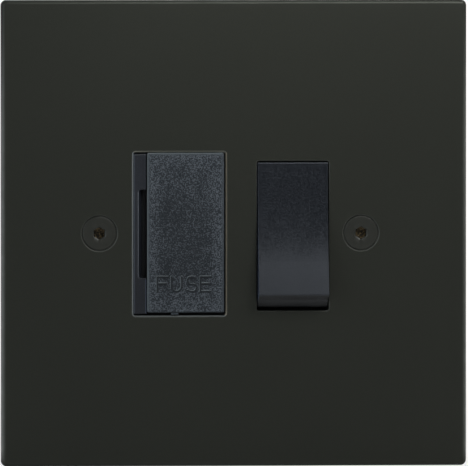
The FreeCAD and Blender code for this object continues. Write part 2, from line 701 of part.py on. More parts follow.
def fuse_cradle():
    """The block behind the cover that holds the fuse by its barrel and lets it out to the left."""
    trough_radius = FUSE_BARREL_RADIUS + FUSE_BARREL_CLEARANCE
    left = FUSE_X - CRADLE_MOUTH
    right = FUSE_X + trough_radius + CRADLE_WALL
    back = FUSE_DEPTH + trough_radius + CRADLE_WALL
    height = around(FUSE_Z, CRADLE_HEIGHT)
    cradle = block((left, right), (COVER_BACK - CRADLE_WALL, back), height)
    start = Vector(FUSE_X, FUSE_DEPTH, FUSE_Z - CRADLE_HEIGHT)
    cradle = cradle.cut(rod(trough_radius, start, start.add(Vector(0, 0, 2 * CRADLE_HEIGHT))))
    window_y = (COVER_BACK + CRADLE_WALL, FUSE_DEPTH - trough_radius - CRADLE_WALL)
    window_z = around(FUSE_Z, CRADLE_HEIGHT - 4 * CRADLE_WINDOW_WALL)
    return cradle.cut(block((left - CUT_PAST, right + CUT_PAST), window_y, window_z))


def fuse_carrier():
    """The drawer's moulding: the cover, its lettering, the two arms and the fuse cradle."""
    x_range = (COVER_LEFT, COVER_RIGHT)
    y_range = (COVER_FRONT, COVER_BACK)
    z_range = (COVER_BOTTOM, COVER_TOP)
    cover = rounded_block(x_range, y_range, z_range, COVER_CORNER_RADIUS)
    cover = cover.makeFillet(COVER_ROUND, edges_at_depth(cover, COVER_FRONT))
    nub_x = around(FUSE_X + NUB_OFFSET_X, NUB_WIDTH)
    nub = block(nub_x, (PLATE_FRONT, COVER_BACK), around(COVER_BOTTOM, 2 * NUB_LENGTH))
    pieces = [cover, nub, drawer_arm(1), drawer_arm(-1), fuse_cradle()]
    return fuse_all(pieces + lettering())


def fuse_barrel():
    """The ceramic tube of the cartridge fuse."""
    half = FUSE_LENGTH / 2 - FUSE_CAP_WALL - FUSE_BARREL_GAP
    start = Vector(FUSE_X, FUSE_DEPTH, FUSE_Z - half)
    return rod(FUSE_BARREL_RADIUS, start, start.add(Vector(0, 0, 2 * half)))


def fuse_cap(side):
    """One metal end cap of the cartridge fuse."""
    end = Vector(FUSE_X, FUSE_DEPTH, FUSE_Z + side * FUSE_LENGTH / 2)
    inward = Vector(0, 0, -side)
    outside = rod(FUSE_CAP_RADIUS, end, end + inward * FUSE_CAP_LENGTH)
    rim = []
    for edge in outside.Edges:
        box = edge.BoundBox
        if abs(box.ZMin - end.z) + abs(box.ZMax - end.z) < 1e-4:
            rim.append(edge)
    outside = outside.makeFillet(FUSE_CAP_ROUND, rim)
    inner_end = end + inward * FUSE_CAP_WALL
    mouth = end + inward * (FUSE_CAP_LENGTH + CUT_PAST)
    return outside.cut(rod(FUSE_CAP_RADIUS - FUSE_CAP_WALL, inner_end, mouth))


def turn(point, degrees):
    """A (height, outward) pair turned about the rocker's pivot, its top outward when positive."""
    angle = math.radians(degrees)
    height, outward = point
    return (
        height * math.cos(angle) - outward * math.sin(angle),
        outward * math.cos(angle) + height * math.sin(angle),
    )


def rocker_end_points():
    """The points of the rocker's end, from its face corner to its skirt, with the rocker level.

    They are set out with that end pressed in: the end stands straight up through the plate, then
    flares behind it.
    """
    behind_plate = ROCKER_PIVOT_DEPTH
    corner = (ROCKER_HALF, PIVOT_TO_FRONT)
    waist = (ROCKER_HALF, behind_plate)
    flare_end = (ROCKER_HALF + ROCKER_FLARE, behind_plate - ROCKER_FLARE_DEPTH)
    skirt_end = (flare_end[0], flare_end[1] - ROCKER_SKIRT)
    arc_radius = math.hypot(ROCKER_FLARE, ROCKER_FLARE_DEPTH) ** 2 / (2 * ROCKER_FLARE)
    arc_turn = math.asin(ROCKER_FLARE_DEPTH / arc_radius) / 2
    bend = (
        ROCKER_HALF + arc_radius * (1 - math.cos(arc_turn)),
        behind_plate - arc_radius * math.sin(arc_turn),
    )
    return [turn(point, ROCKER_SWING / 2) for point in (corner, waist, bend, flare_end, skirt_end)]


def place(point, x):
    """A (height, outward) pair about the rocker's pivot as a point of the model."""
    height, outward = point
    return Vector(x, PIVOT.y - outward, PIVOT.z + height)


def rocker_face_points(corner, lowered):
    """The two ends and the middle of the bend in the rocker's face, lowered by an amount."""
    tilt = math.radians(ROCKER_FACE_TILT)
    blend_outward = corner[1] - (corner[0] - ROCKER_FACE_BLEND) * math.tan(tilt) - lowered
    middle = (0, blend_outward - ROCKER_FACE_BLEND * math.tan(tilt / 2))
    upper = (ROCKER_FACE_BLEND, blend_outward)
    lower = (-ROCKER_FACE_BLEND, blend_outward)
    return upper, middle, lower


def mirrored(point):
    """A (height, outward) pair on the other half of the rocker."""
    return (-point[0], point[1])


def rocker_outline(x):
    """The rocker's outer outline in the plane across its pivot at one X, with the rocker level."""
    corner, waist, bend, flare_end, skirt_end = rocker_end_points()
    upper, middle, lower = rocker_face_points(corner, 0)

    def line(first, second):
        return Part.LineSegment(place(first, x), place(second, x)).toShape()

    def arc(first, through, second):
        return Part.Arc(place(first, x), place(through, x), place(second, x)).toShape()

    edges = [
        line(skirt_end, flare_end),
        arc(flare_end, bend, waist),
        line(waist, corner),
        line(corner, upper),
        arc(upper, middle, lower),
        line(lower, mirrored(corner)),
        line(mirrored(corner), mirrored(waist)),
        arc(mirrored(waist), mirrored(bend), mirrored(flare_end)),
        line(mirrored(flare_end), mirrored(skirt_end)),
        line(mirrored(skirt_end), skirt_end),
    ]
    return Part.Face(Part.Wire(edges))


def rocker_cavity():
    """The hollow under the rocker's face."""
    corner, waist, _, flare_end, skirt_end = rocker_end_points()
    upper, middle, lower = rocker_face_points(corner, ROCKER_SKIN)
    below = skirt_end[1] - CUT_PAST
    half = [
        (corner[0] - ROCKER_END_WALL, corner[1] - ROCKER_SKIN),
        (waist[0] - ROCKER_END_WALL, waist[1] - ROCKER_SKIN / 2),
        (flare_end[0] - ROCKER_END_WALL, flare_end[1] - ROCKER_SKIN / 2),
        (flare_end[0] - ROCKER_END_WALL, below),
    ]
    outline = [upper, middle, lower] + [mirrored(point) for point in half] + half[::-1]
    x = ROCKER_LEFT + ROCKER_SIDE_WALL
    corners = [place(point, x) for point in outline]
    face = Part.Face(Part.makePolygon(corners + corners[:1]))
    return face.extrude(Vector(ROCKER_WIDTH - 2 * ROCKER_SIDE_WALL, 0, 0))


def rocker_lug(outer_x, toward):
    """One side lug with its trunnion; toward is 1 on the left side and -1 on the right side."""
    skirt_outward = rocker_end_points()[4][1]
    inner_x = outer_x + toward * ROCKER_SIDE_WALL
    y_range = (PIVOT.y - skirt_outward - ROCKER_SKIN / 2, PIVOT.y)
    hanger = block((outer_x, inner_x), y_range, around(PIVOT.z, 2 * LUG_RADIUS))
    disc = rod(LUG_RADIUS, Vector(outer_x, PIVOT.y, PIVOT.z), Vector(inner_x, PIVOT.y, PIVOT.z))
    tip_x = outer_x - toward * (ROCKER_SIDE_GAP + CHEEK_THICKNESS)
    trunnion = rod(TRUNNION_RADIUS, Vector(tip_x, PIVOT.y, PIVOT.z), Vector(inner_x, PIVOT.y, PIVOT.z))
    return [hanger, disc, trunnion]


def plunger_boss():
    """The bridge across the rocker's hollow that houses the two plungers."""
    corner = rocker_end_points()[0]
    middle = rocker_face_points(corner, ROCKER_SKIN / 2)[1]
    x_range = around(ROCKER_X, ROCKER_WIDTH - ROCKER_SIDE_WALL)
    y_range = (PIVOT.y - middle[1], PIVOT.y + PLUNGER_BOSS_REACH)
    return block(x_range, y_range, around(PIVOT.z, PLUNGER_BOSS_WIDTH))


def rocker_at_rest(shape):
    """A piece of the rocker, drawn level, turned to the OFF position."""
    rested = shape.copy()
    rested.rotate(PIVOT, X_AXIS, -ROCKER_SWING / 2)
    return rested


def rocker():
    """The rocker moulding: a dished face on a hollow body, with trunnions and a plunger boss."""
    body = rocker_outline(ROCKER_LEFT).extrude(Vector(ROCKER_WIDTH, 0, 0))
    corner = place(rocker_end_points()[0], 0)
    rims = []
    for edge in edges_along(body, X_AXIS):
        middle = edge.BoundBox.Center
        at_corner = abs(abs(middle.z - PIVOT.z) - (corner.z - PIVOT.z)) < 1e-4
        if at_corner and abs(middle.y - corner.y) < 1e-4:
            rims.append(edge)
    body = body.makeFillet(ROCKER_EDGE_ROUND, rims)
    body = body.cut(rocker_cavity())
    pieces = [body, plunger_boss()]
    pieces += rocker_lug(ROCKER_LEFT, 1)
    pieces += rocker_lug(ROCKER_RIGHT, -1)
    whole = fuse_all(pieces)
    for x in POLE_X.values():
        mouth = Vector(x, PIVOT.y + PLUNGER_BOSS_REACH + CUT_PAST, PIVOT.z)
        top = Vector(x, PIVOT.y - PLUNGER_BORE_TOP, PIVOT.z)
        whole = whole.cut(rod(PLUNGER_RADIUS + PLUNGER_CLEARANCE, mouth, top))
    return rocker_at_rest(whole)


def plunger(x):
    """One round-ended plunger, which rocks the contact bar under it."""
    tip_centre = Vector(x, PIVOT.y + PLUNGER_REACH - PLUNGER_RADIUS, PIVOT.z)
    back = tip_centre.sub(Vector(0, PLUNGER_SHANK, 0))
    shape = rod(PLUNGER_RADIUS, back, tip_centre).fuse(Part.makeSphere(PLUNGER_RADIUS, tip_centre))
    return rocker_at_rest(shape.removeSplitter())


def plunger_spring(x):
    """The coil spring that presses one plunger out of the rocker."""
    end_gap = SPRING_WIRE_RADIUS + PLUNGER_CLEARANCE
    low = PIVOT.y - PLUNGER_BORE_TOP + end_gap
    high = PIVOT.y + PLUNGER_REACH - PLUNGER_RADIUS - PLUNGER_SHANK - end_gap
    length = high - low
    helix = Part.makeHelix(length / SPRING_TURNS, length, SPRING_COIL_RADIUS)
    first = helix.Edges[0]
    start = first.valueAt(first.FirstParameter)
    along = first.tangentAt(first.FirstParameter)
    section = Part.Wire(Part.makeCircle(SPRING_WIRE_RADIUS, start, along))
    coil = Part.Wire(helix.Edges).makePipeShell([section], True, True)
    coil.rotate(Vector(0, 0, 0), X_AXIS, -90)
    coil.translate(Vector(x, low, PIVOT.z))
    return rocker_at_rest(coil)


def bar_at_rest(shape):
    """A piece of a contact bar, drawn level, turned to the OFF position."""
    rested = shape.copy()
    rested.rotate(Vector(0, BAR_PIVOT_Y, ROCKER_Z), X_AXIS, BAR_SWING / 2)
    return rested


def contact_bar(x):
    """One rocking contact bar, with the rib that it pivots on."""
    x_range = around(x, CONTACT_WIDTH)
    z_range = around(ROCKER_Z, 2 * BAR_REACH)
    bar = rounded_block(x_range, (BAR_FRONT, BAR_BACK), z_range, STRIP_THICKNESS)
    start = Vector(min(x_range), BAR_PIVOT_Y, ROCKER_Z)
    rib = rod(BAR_PIVOT_RADIUS, start, start + X_AXIS * CONTACT_WIDTH)
    return bar_at_rest(bar.fuse(rib).removeSplitter())


def moving_contact(x):
    """The silver rivet head on the back of a contact bar's upper end."""
    start = Vector(x, BAR_BACK, CONTACT_Z)
    return bar_at_rest(rod(CONTACT_RADIUS, start, start.add(Vector(0, CONTACT_HEIGHT, 0))))


def fixed_contact_face():
    """The depth where a fixed contact's silver face stands, just clear of the closed bar."""
    half = math.radians(BAR_SWING / 2)
    below_pivot = BAR_BACK + CONTACT_HEIGHT - BAR_PIVOT_Y
    reach = below_pivot * math.cos(half) + (CONTACT_ARM + CONTACT_RADIUS) * math.sin(half)
    return BAR_PIVOT_Y + reach + CONTACT_GAP


def fixed_contact(x):
    """The silver rivet head that a contact bar closes on."""
    start = Vector(x, fixed_contact_face(), CONTACT_Z)
    return rod(CONTACT_RADIUS, start, start.add(Vector(0, CONTACT_HEIGHT, 0)))


def contact_post(x):
    """The raised end of a strip that carries a fixed contact."""
    y_range = (fixed_contact_face() + CONTACT_HEIGHT, STRIP_BACK)
    return block(around(x, CONTACT_WIDTH), y_range, around(CONTACT_Z, CONTACT_WIDTH))


def pivot_bracket(x):
    """The strip from a supply terminal up to the saddle that one contact bar rocks in."""
    x_range = around(x, CONTACT_WIDTH)
    saddle_z = around(ROCKER_Z, SADDLE_HEIGHT)
    saddle_front = BAR_BACK + SADDLE_GAP
    saddle = block(x_range, (saddle_front, BRACKET_BACK), saddle_z)
    groove_start = Vector(min(x_range) - CUT_PAST, BAR_PIVOT_Y, ROCKER_Z)
    groove_end = Vector(max(x_range) + CUT_PAST, BAR_PIVOT_Y, ROCKER_Z)
    groove = rod(BAR_PIVOT_RADIUS + BAR_PIVOT_CLEARANCE, groove_start, groove_end)
    strip = block(x_range, (BRACKET_FRONT, BRACKET_BACK), (-TERMINAL_INNER, max(saddle_z)))
    return strip.fuse(saddle).cut(groove).removeSplitter()


def neutral_contact_strip():
    """The strip from the neutral fixed contact up to the load's neutral terminal."""
    x = POLE_X["neutral"]
    z_range = (CONTACT_Z - CONTACT_WIDTH / 2, TERMINAL_INNER)
    strip = block(around(x, CONTACT_WIDTH), (STRIP_FRONT, STRIP_BACK), z_range)
    return strip.fuse(contact_post(x)).removeSplitter()


def clip_jaw(side, z_range):
    """One springy jaw of a fuse clip with its flared lip, left (-1) or right (1) of the fuse."""
    inner = FUSE_CAP_RADIUS + CLIP_GAP
    outer = inner + CLIP_SHEET
    tip = FUSE_DEPTH - CLIP_RISE
    base = FUSE_DEPTH + FUSE_CAP_RADIUS + CLIP_BASE_GAP + CLIP_SHEET
    outline = [
        (inner, base),
        (inner, tip),
        (inner + CLIP_LIP_FLARE, tip - CLIP_LIP),
        (outer + CLIP_LIP_FLARE, tip - CLIP_LIP),
        (outer, tip),
        (outer, base),
    ]
    return prism_along_z([(FUSE_X + side * x, y) for x, y in outline], z_range)


def fuse_clip(side):
    """A pressed clip that grips one fuse cap, with the leg that runs to the back of the drawer."""
    middle = FUSE_Z + side * (FUSE_LENGTH / 2 - FUSE_CAP_LENGTH / 2)
    z_range = around(middle, CLIP_WIDTH)
    base_front = FUSE_DEPTH + FUSE_CAP_RADIUS + CLIP_BASE_GAP
    base_x = around(FUSE_X, 2 * (FUSE_CAP_RADIUS + CLIP_GAP + CLIP_SHEET))
    base = block(base_x, (base_front, base_front + CLIP_SHEET), z_range)
    outer_z = middle + side * CLIP_WIDTH / 2
    leg_z = (outer_z, outer_z - side * STRIP_THICKNESS)
    leg = block(around(FUSE_X, CLIP_LEG_WIDTH), (base_front, STRIP_BACK), leg_z)
    return [clip_jaw(-1, z_range), clip_jaw(1, z_range), base, leg]


def upper_fuse_clip():
    """The clip for the fuse's upper cap, in one piece with the strip to the load's live terminal."""
    leg_z = FUSE_Z + FUSE_LENGTH / 2 - FUSE_CAP_LENGTH / 2 + CLIP_WIDTH / 2
    z_range = (leg_z - STRIP_THICKNESS, TERMINAL_INNER)
    strip = block(around(FUSE_X, CLIP_LEG_WIDTH), (STRIP_FRONT, STRIP_BACK), z_range)
    return fuse_all(fuse_clip(1) + [strip])


def lower_fuse_clip():
    """The clip for the fuse's lower cap, in one piece with the strip to the live fixed contact."""
    x = POLE_X["live"]
    right = x + CONTACT_WIDTH / 2
    left = FUSE_X - CLIP_LEG_WIDTH / 2
    crossing_z = (LOWER_CLIP_BOTTOM, LOWER_CLIP_BOTTOM + CONTACT_WIDTH)
    crossing = block((left, right), (STRIP_FRONT, STRIP_BACK), crossing_z)
    riser_z = (LOWER_CLIP_BOTTOM, CONTACT_Z + CONTACT_WIDTH / 2)
    riser = block(around(x, CONTACT_WIDTH), (STRIP_FRONT, STRIP_BACK), riser_z)
    return fuse_all(fuse_clip(-1) + [crossing, riser, contact_post(x)])


def terminal(x, side):
    """A brass terminal block, with a wire hole from the edge and a screw hole from the back."""
    z = side * TERMINAL_Z
    y_range = (TERMINAL_FRONT, HOUSING_FLOOR)
    z_range = around(z, TERMINAL_HEIGHT)
    body = rounded_block(around(x, TERMINAL_WIDTH), y_range, z_range, TERMINAL_ROUND)
    mouth = Vector(x, WIRE_HOLE_Y, z + side * TERMINAL_HEIGHT / 2)
    body = body.cut(rod(WIRE_HOLE_RADIUS, mouth, mouth.sub(Vector(0, 0, side * WIRE_HOLE_DEPTH))))
    radius = TERMINAL_SCREW_RADIUS + TERMINAL_SCREW_CLEARANCE
    return body.cut(rod(radius, Vector(x, WIRE_HOLE_Y, z), Vector(x, HOUSING_FLOOR + CUT_PAST, z)))


def slot_cut(x, top, z, head_radius):
    """The cutter for a screwdriver slot across a head whose top is at a depth."""
    x_range = around(x, 2 * (head_radius + CUT_PAST))
    return block(x_range, (top - SCREW_SLOT_DEPTH, top + CUT_PAST), around(z, SCREW_SLOT_WIDTH))


def terminal_screw(x, side):
    """The clamping screw of one terminal, backed off so that the wire hole is clear."""
    z = side * TERMINAL_Z
    tip = WIRE_HOLE_Y + WIRE_HOLE_RADIUS + SEAT_CLEARANCE
    under_head = HOUSING_FLOOR + TERMINAL_HEAD_GAP
    top = under_head + TERMINAL_HEAD_HEIGHT
    shank = rod(TERMINAL_SCREW_RADIUS, Vector(x, tip, z), Vector(x, under_head, z))
    head = rod(TERMINAL_HEAD_RADIUS, Vector(x, under_head, z), Vector(x, top, z))
    screw = shank.fuse(head).removeSplitter()
    return screw.cut(slot_cut(x, top, z, TERMINAL_HEAD_RADIUS))


def earth_strap():
    """The folded strap from the load's earth terminal forward to the back of the plate."""
    x_range = around(LOAD_EARTH_X, EARTH_STRAP_WIDTH)
    leg_z = (EARTH_STRAP_BOTTOM, EARTH_STRAP_BOTTOM + STRIP_THICKNESS)
    leg = block(x_range, (0, TERMINAL_FRONT), leg_z)
    foot = block(x_range, (0, STRIP_THICKNESS), (EARTH_STRAP_BOTTOM, EARTH_STRAP_TOP))
    strap = leg.fuse(foot).removeSplitter()
    before = Vector(LOAD_EARTH_X, -CUT_PAST, EARTH_SCREW_Z)
    behind = Vector(LOAD_EARTH_X, STRIP_THICKNESS + CUT_PAST, EARTH_SCREW_Z)
    return strap.cut(rod(ASSEMBLY_RADIUS + ASSEMBLY_CLEARANCE, before, behind))


def earth_screw():
    """The screw that clamps the earth strap's foot to the plate."""
    tip = Vector(LOAD_EARTH_X, -THREAD_DEPTH + THREAD_CLEARANCE, EARTH_SCREW_Z)
    under_head = Vector(LOAD_EARTH_X, STRIP_THICKNESS, EARTH_SCREW_Z)
    top = under_head + Y_AXIS * EARTH_HEAD_HEIGHT
    shank = rod(ASSEMBLY_RADIUS, tip, under_head)
    head = rod(EARTH_HEAD_RADIUS, under_head, top)
    screw = shank.fuse(head).removeSplitter()
    return screw.cut(slot_cut(LOAD_EARTH_X, top.y, EARTH_SCREW_Z, EARTH_HEAD_RADIUS))


def earth_link():
    """The flat strip on the housing's floor that joins the two earth terminals."""
    y_range = (EARTH_LINK_FRONT, EARTH_LINK_BACK)
    low = -TERMINAL_INNER
    riser = block(around(LOAD_EARTH_X, EARTH_LINK_WIDTH), y_range, (low, TERMINAL_INNER))
    crossing_x = (FUSE_X - EARTH_LINK_WIDTH / 2, LOAD_EARTH_X)
    crossing = block(crossing_x, y_range, (low, low + EARTH_LINK_WIDTH))
    return riser.fuse(crossing).removeSplitter()


def assembly_screw(x, z):
    """One long screw from the back of the housing into the plate."""
    head_seat = HOUSING_DEPTH - ASSEMBLY_HEAD_HEIGHT
    tip = -THREAD_DEPTH + THREAD_CLEARANCE
    shank = rod(ASSEMBLY_RADIUS, Vector(x, tip, z), Vector(x, head_seat, z))
    head = rod(ASSEMBLY_HEAD_RADIUS, Vector(x, head_seat, z), Vector(x, HOUSING_DEPTH, z))
    screw = shank.fuse(head).removeSplitter()
    return screw.cut(slot_cut(x, HOUSING_DEPTH, z, ASSEMBLY_HEAD_RADIUS))


def assembly_boss(x, z):
    """The pillar inside the housing that one assembly screw runs down."""
    return rod(ASSEMBLY_BOSS_RADIUS, Vector(x, FLANGE_THICKNESS, z), Vector(x, HOUSING_FLOOR, z))


def access_hole(radius, bottom, x, z):
    """The cutter for a round hole from the housing's back down to a depth, with a bevelled mouth."""
    above = HOUSING_DEPTH + CUT_PAST
    profile = [
        (0, bottom),
        (radius, bottom),
        (radius, HOUSING_DEPTH - ACCESS_BEVEL),
        (radius + ACCESS_BEVEL + CUT_PAST, above),
        (0, above),
    ]
    return turned(profile, Vector(x, 0, z))


def assembly_bore(x, z):
    """The cutter for one assembly screw's hole and the counterbore for its head."""
    radius = ASSEMBLY_RADIUS + ASSEMBLY_CLEARANCE
    head = ASSEMBLY_HEAD_RADIUS + ASSEMBLY_CLEARANCE
    bore = rod(radius, Vector(x, -CUT_PAST, z), Vector(x, HOUSING_DEPTH, z))
    return bore.fuse(access_hole(head, HOUSING_DEPTH - ASSEMBLY_HEAD_HEIGHT, x, z))


def pole_barrier():
    """The wall on the housing's floor that parts the live side from the neutral side."""
    front = PIVOT.y + math.hypot(PLUNGER_BOSS_REACH, PLUNGER_BOSS_WIDTH / 2) + BARRIER_MARGIN
    y_range = (front, HOUSING_FLOOR + HOUSING_REAR_WALL / 2)
    z_range = around(0, HOUSING_HEIGHT - HOUSING_WALL)
    return block(around(BARRIER_X, BARRIER_THICKNESS), y_range, z_range)


def drawer_barrier():
    """The wall that parts the fuse drawer's space from the switch, notched for the strips."""
    right = LOAD_EARTH_X - EARTH_LINK_WIDTH / 2 - BARRIER_MARGIN
    left = right - BARRIER_THICKNESS
    y_range = (GUIDE_DEPTH + BARRIER_MARGIN, HOUSING_FLOOR + HOUSING_REAR_WALL / 2)
    bottom = -TERMINAL_INNER + EARTH_LINK_WIDTH + BARRIER_MARGIN
    wall = block((left, right), y_range, (bottom, TERMINAL_INNER - BARRIER_MARGIN))
    notch_top = LOWER_CLIP_BOTTOM + CONTACT_WIDTH + BARRIER_MARGIN
    notch_z = (LOWER_CLIP_BOTTOM - BARRIER_MARGIN, notch_top)
    notch = block((left - CUT_PAST, right + CUT_PAST), (GUIDE_DEPTH, STRIP_BACK), notch_z)
    return wall.cut(notch)


def back_groove(x, z, start, end):
    """The cutter for one line of a mark, between two (across, up) points as seen from behind."""
    across = end[0] - start[0]
    up = end[1] - start[1]
    corner = Vector(0, HOUSING_DEPTH - MARK_DEPTH, -MARK_STROKE / 2)
    line = Part.makeBox(math.hypot(across, up), MARK_DEPTH + CUT_PAST, MARK_STROKE, corner)
    line.rotate(Vector(0, 0, 0), Y_AXIS, math.degrees(math.atan2(-up, -across)))
    line.translate(Vector(x - start[0], 0, z + start[1]))
    return line


def terminal_mark(name, x, side):
    """The cutters for the mark beside one terminal: L, N or the earth sign."""
    wide, high = MARK_HALF_WIDTH, MARK_HALF_HEIGHT
    reach = MARK_STROKE / 2
    if name.endswith("live"):
        lines = [((-wide, high), (-wide, -high - reach)), ((-wide, -high), (wide, -high))]
    elif name.endswith("neutral"):
        corners = [(-wide, -high), (-wide, high), (wide, -high), (wide, high)]
        lines = list(zip(corners, corners[1:]))
    else:
        lines = [((0, high), (0, 0))]
        for step in range(3):
            half = wide * (3 - step) / 3
            level = -high * step / 2
            lines.append(((-half, level), (half, level)))
    below_hole = TERMINAL_HEAD_RADIUS + TERMINAL_HEAD_GAP + MARK_GAP + high
    z = side * (TERMINAL_Z - below_hole)
    return [back_groove(x, z, start, end) for start, end in lines]


def rear_housing():
    """The insulating box behind the front moulding, open towards the room."""
    x_range = around(0, HOUSING_WIDTH)
    y_range = (FLANGE_THICKNESS, HOUSING_DEPTH)
    z_range = around(0, HOUSING_HEIGHT)
    shell = rounded_block(x_range, y_range, z_range, HOUSING_CORNER_RADIUS)
    shell = shell.makeFillet(HOUSING_REAR_ROUND, edges_at_depth(shell, HOUSING_DEPTH))
    inner_x = around(0, 2 * HOUSING_INNER_HALF)
    inner_z = around(0, HOUSING_HEIGHT - 2 * HOUSING_WALL)
    hollow = block(inner_x, (FLANGE_THICKNESS - CUT_PAST, HOUSING_FLOOR), inner_z)
    walls = [pole_barrier(), drawer_barrier()]
    walls += [assembly_boss(x, z) for x, z in assembly_places()]
    body = fuse_all([shell.cut(hollow)] + [wall.common(hollow) for wall in walls])
    for x, z in assembly_places():
        body = body.cut(assembly_bore(x, z))
    head = TERMINAL_HEAD_RADIUS + TERMINAL_HEAD_GAP
    for name, (x, side) in TERMINALS.items():
        body = body.cut(access_hole(head, HOUSING_FLOOR - SEAT_CLEARANCE, x, side * TERMINAL_Z))
        mouth = Vector(x, WIRE_HOLE_Y, side * (HOUSING_HEIGHT / 2 + CUT_PAST))
        inner = Vector(x, WIRE_HOLE_Y, side * (HOUSING_HEIGHT / 2 - HOUSING_WALL - SEAT_CLEARANCE))
        body = body.cut(rod(WIRE_ENTRY_RADIUS, mouth, inner))
        body = body.cut(terminal_mark(name, x, side))
    return body


def all_parts():
    """Every piece of the unit by its name."""
    parts = {
        "front_plate": front_plate(),
        "left_fixing_screw": fixing_screw(-FIXING_CENTRES / 2),
        "right_fixing_screw": fixing_screw(FIXING_CENTRES / 2),
        "front_moulding": front_moulding(),
        "rear_housing": rear_housing(),
        "fuse_carrier": fuse_carrier(),
        "fuse_barrel": fuse_barrel(),
        "fuse_upper_cap": fuse_cap(1),
        "fuse_lower_cap": fuse_cap(-1),
        "upper_fuse_clip": upper_fuse_clip(),
        "lower_fuse_clip": lower_fuse_clip(),
        "rocker": rocker(),
        "neutral_contact_strip": neutral_contact_strip(),
        "earth_link": earth_link(),
        "earth_strap": earth_strap(),
        "earth_screw": earth_screw(),
    }
    for pole, x in POLE_X.items():
        parts[f"{pole}_plunger"] = plunger(x)
        parts[f"{pole}_plunger_spring"] = plunger_spring(x)
        parts[f"{pole}_contact_bar"] = contact_bar(x)
        parts[f"{pole}_moving_contact"] = moving_contact(x)
        parts[f"{pole}_fixed_contact"] = fixed_contact(x)
        parts[f"{pole}_pivot_bracket"] = pivot_bracket(x)
    for name, (x, side) in TERMINALS.items():
        parts[f"{name}_terminal"] = terminal(x, side)
        parts[f"{name}_terminal_screw"] = terminal_screw(x, side)
    for number, (x, z) in enumerate(assembly_places(), start=1):
        parts[f"assembly_screw_{number}"] = assembly_screw(x, z)
    return parts


def main():
    os.makedirs("parts", exist_ok=True)
    for name, shape in all_parts().items():
        solids = shape.Solids
        if len(solids) != 1 or not shape.isValid():
            raise ValueError(f"{name} is not one sound solid but {len(solids)}")
        solids[0].exportStep(os.path.join("parts", f"{name}.step"))
        print(f"{name:32s} {solids[0].Volume:10.1f} mm3")


if __name__ == "__main__":
    main()
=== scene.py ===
"""Finishes and studio for a switched fused spur unit: a square dark metal plate with a fuse drawer and
a rocker switch, and the housing, terminals and contacts behind it."""

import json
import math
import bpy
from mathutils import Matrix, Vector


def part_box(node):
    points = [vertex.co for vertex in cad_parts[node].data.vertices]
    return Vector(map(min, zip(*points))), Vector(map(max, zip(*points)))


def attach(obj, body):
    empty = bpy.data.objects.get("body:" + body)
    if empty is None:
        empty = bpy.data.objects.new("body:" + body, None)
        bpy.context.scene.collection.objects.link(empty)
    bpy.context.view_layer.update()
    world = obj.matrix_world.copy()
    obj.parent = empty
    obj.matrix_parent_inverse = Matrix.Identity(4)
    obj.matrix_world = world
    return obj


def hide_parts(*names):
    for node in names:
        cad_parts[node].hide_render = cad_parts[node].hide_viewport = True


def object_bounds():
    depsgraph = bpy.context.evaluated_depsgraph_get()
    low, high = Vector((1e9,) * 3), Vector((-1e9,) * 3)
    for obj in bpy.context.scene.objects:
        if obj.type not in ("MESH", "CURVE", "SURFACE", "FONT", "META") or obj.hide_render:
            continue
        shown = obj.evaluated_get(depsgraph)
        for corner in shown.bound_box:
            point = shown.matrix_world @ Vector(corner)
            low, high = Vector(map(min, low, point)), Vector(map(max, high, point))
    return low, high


bl_info = {
    "name": "Fused Spur Unit",
    "version": (1, 0, 0),
    "blender": (4, 5, 0),
    "location": "3D View > Sidebar > Spur Unit",
    "description": "Gives a fused spur unit its finishes, its cut threads and a plain studio",
    "category": "Object",
}

import bmesh
import bpy
from bpy.props import FloatProperty, FloatVectorProperty, IntProperty, PointerProperty
from mathutils import Vector

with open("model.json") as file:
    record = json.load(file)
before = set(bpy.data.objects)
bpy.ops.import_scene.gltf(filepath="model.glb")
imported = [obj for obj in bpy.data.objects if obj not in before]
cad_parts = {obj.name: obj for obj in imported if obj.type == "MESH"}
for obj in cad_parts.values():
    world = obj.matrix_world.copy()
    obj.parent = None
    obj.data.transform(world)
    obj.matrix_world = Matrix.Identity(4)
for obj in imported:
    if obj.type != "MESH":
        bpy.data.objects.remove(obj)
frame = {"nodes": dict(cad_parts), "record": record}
NODES = frame["nodes"]
CAD_LOW, CAD_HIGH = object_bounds()
MM = 0.001

# Directions and axes of the frame, as seen from the room
FRONT = (0, -1, 0)
RIGHT = (1, 0, 0)
LEFT = (-1, 0, 0)
DOWN = (0, 0, -1)
ACROSS = 0
INWARD = 1
UPRIGHT = 2

# The fixing screws' material slots
BLACKING = 0
SOCKET = 1


def length(name, description, default):
    """A size property, in metres."""
    return FloatProperty(
        name=name, description=description, default=default, min=0, unit="LENGTH", precision=5
    )


def offset(name, description, default):
    """A distance to one side or the other, in metres."""
    return FloatProperty(name=name, description=description, default=default, unit="LENGTH", precision=5)


def colour(name, description, default):
    """A colour property."""
    return FloatVectorProperty(
        name=name, description=description, default=default, size=3, min=0, max=1, subtype="COLOR"
    )


def share(name, description, default):
    """A property between nothing and all."""
    return FloatProperty(
        name=name, description=description, default=default, min=0, max=1, subtype="FACTOR"
    )


def degrees(name, description, default):
    """An angle property, whose default is given in degrees."""
    return FloatProperty(
        name=name, description=description, default=math.radians(default), subtype="ANGLE"
    )


def watts(name, description, default):
    """A lamp's power property."""
    return FloatProperty(name=name, description=description, default=default, min=0, unit="POWER")


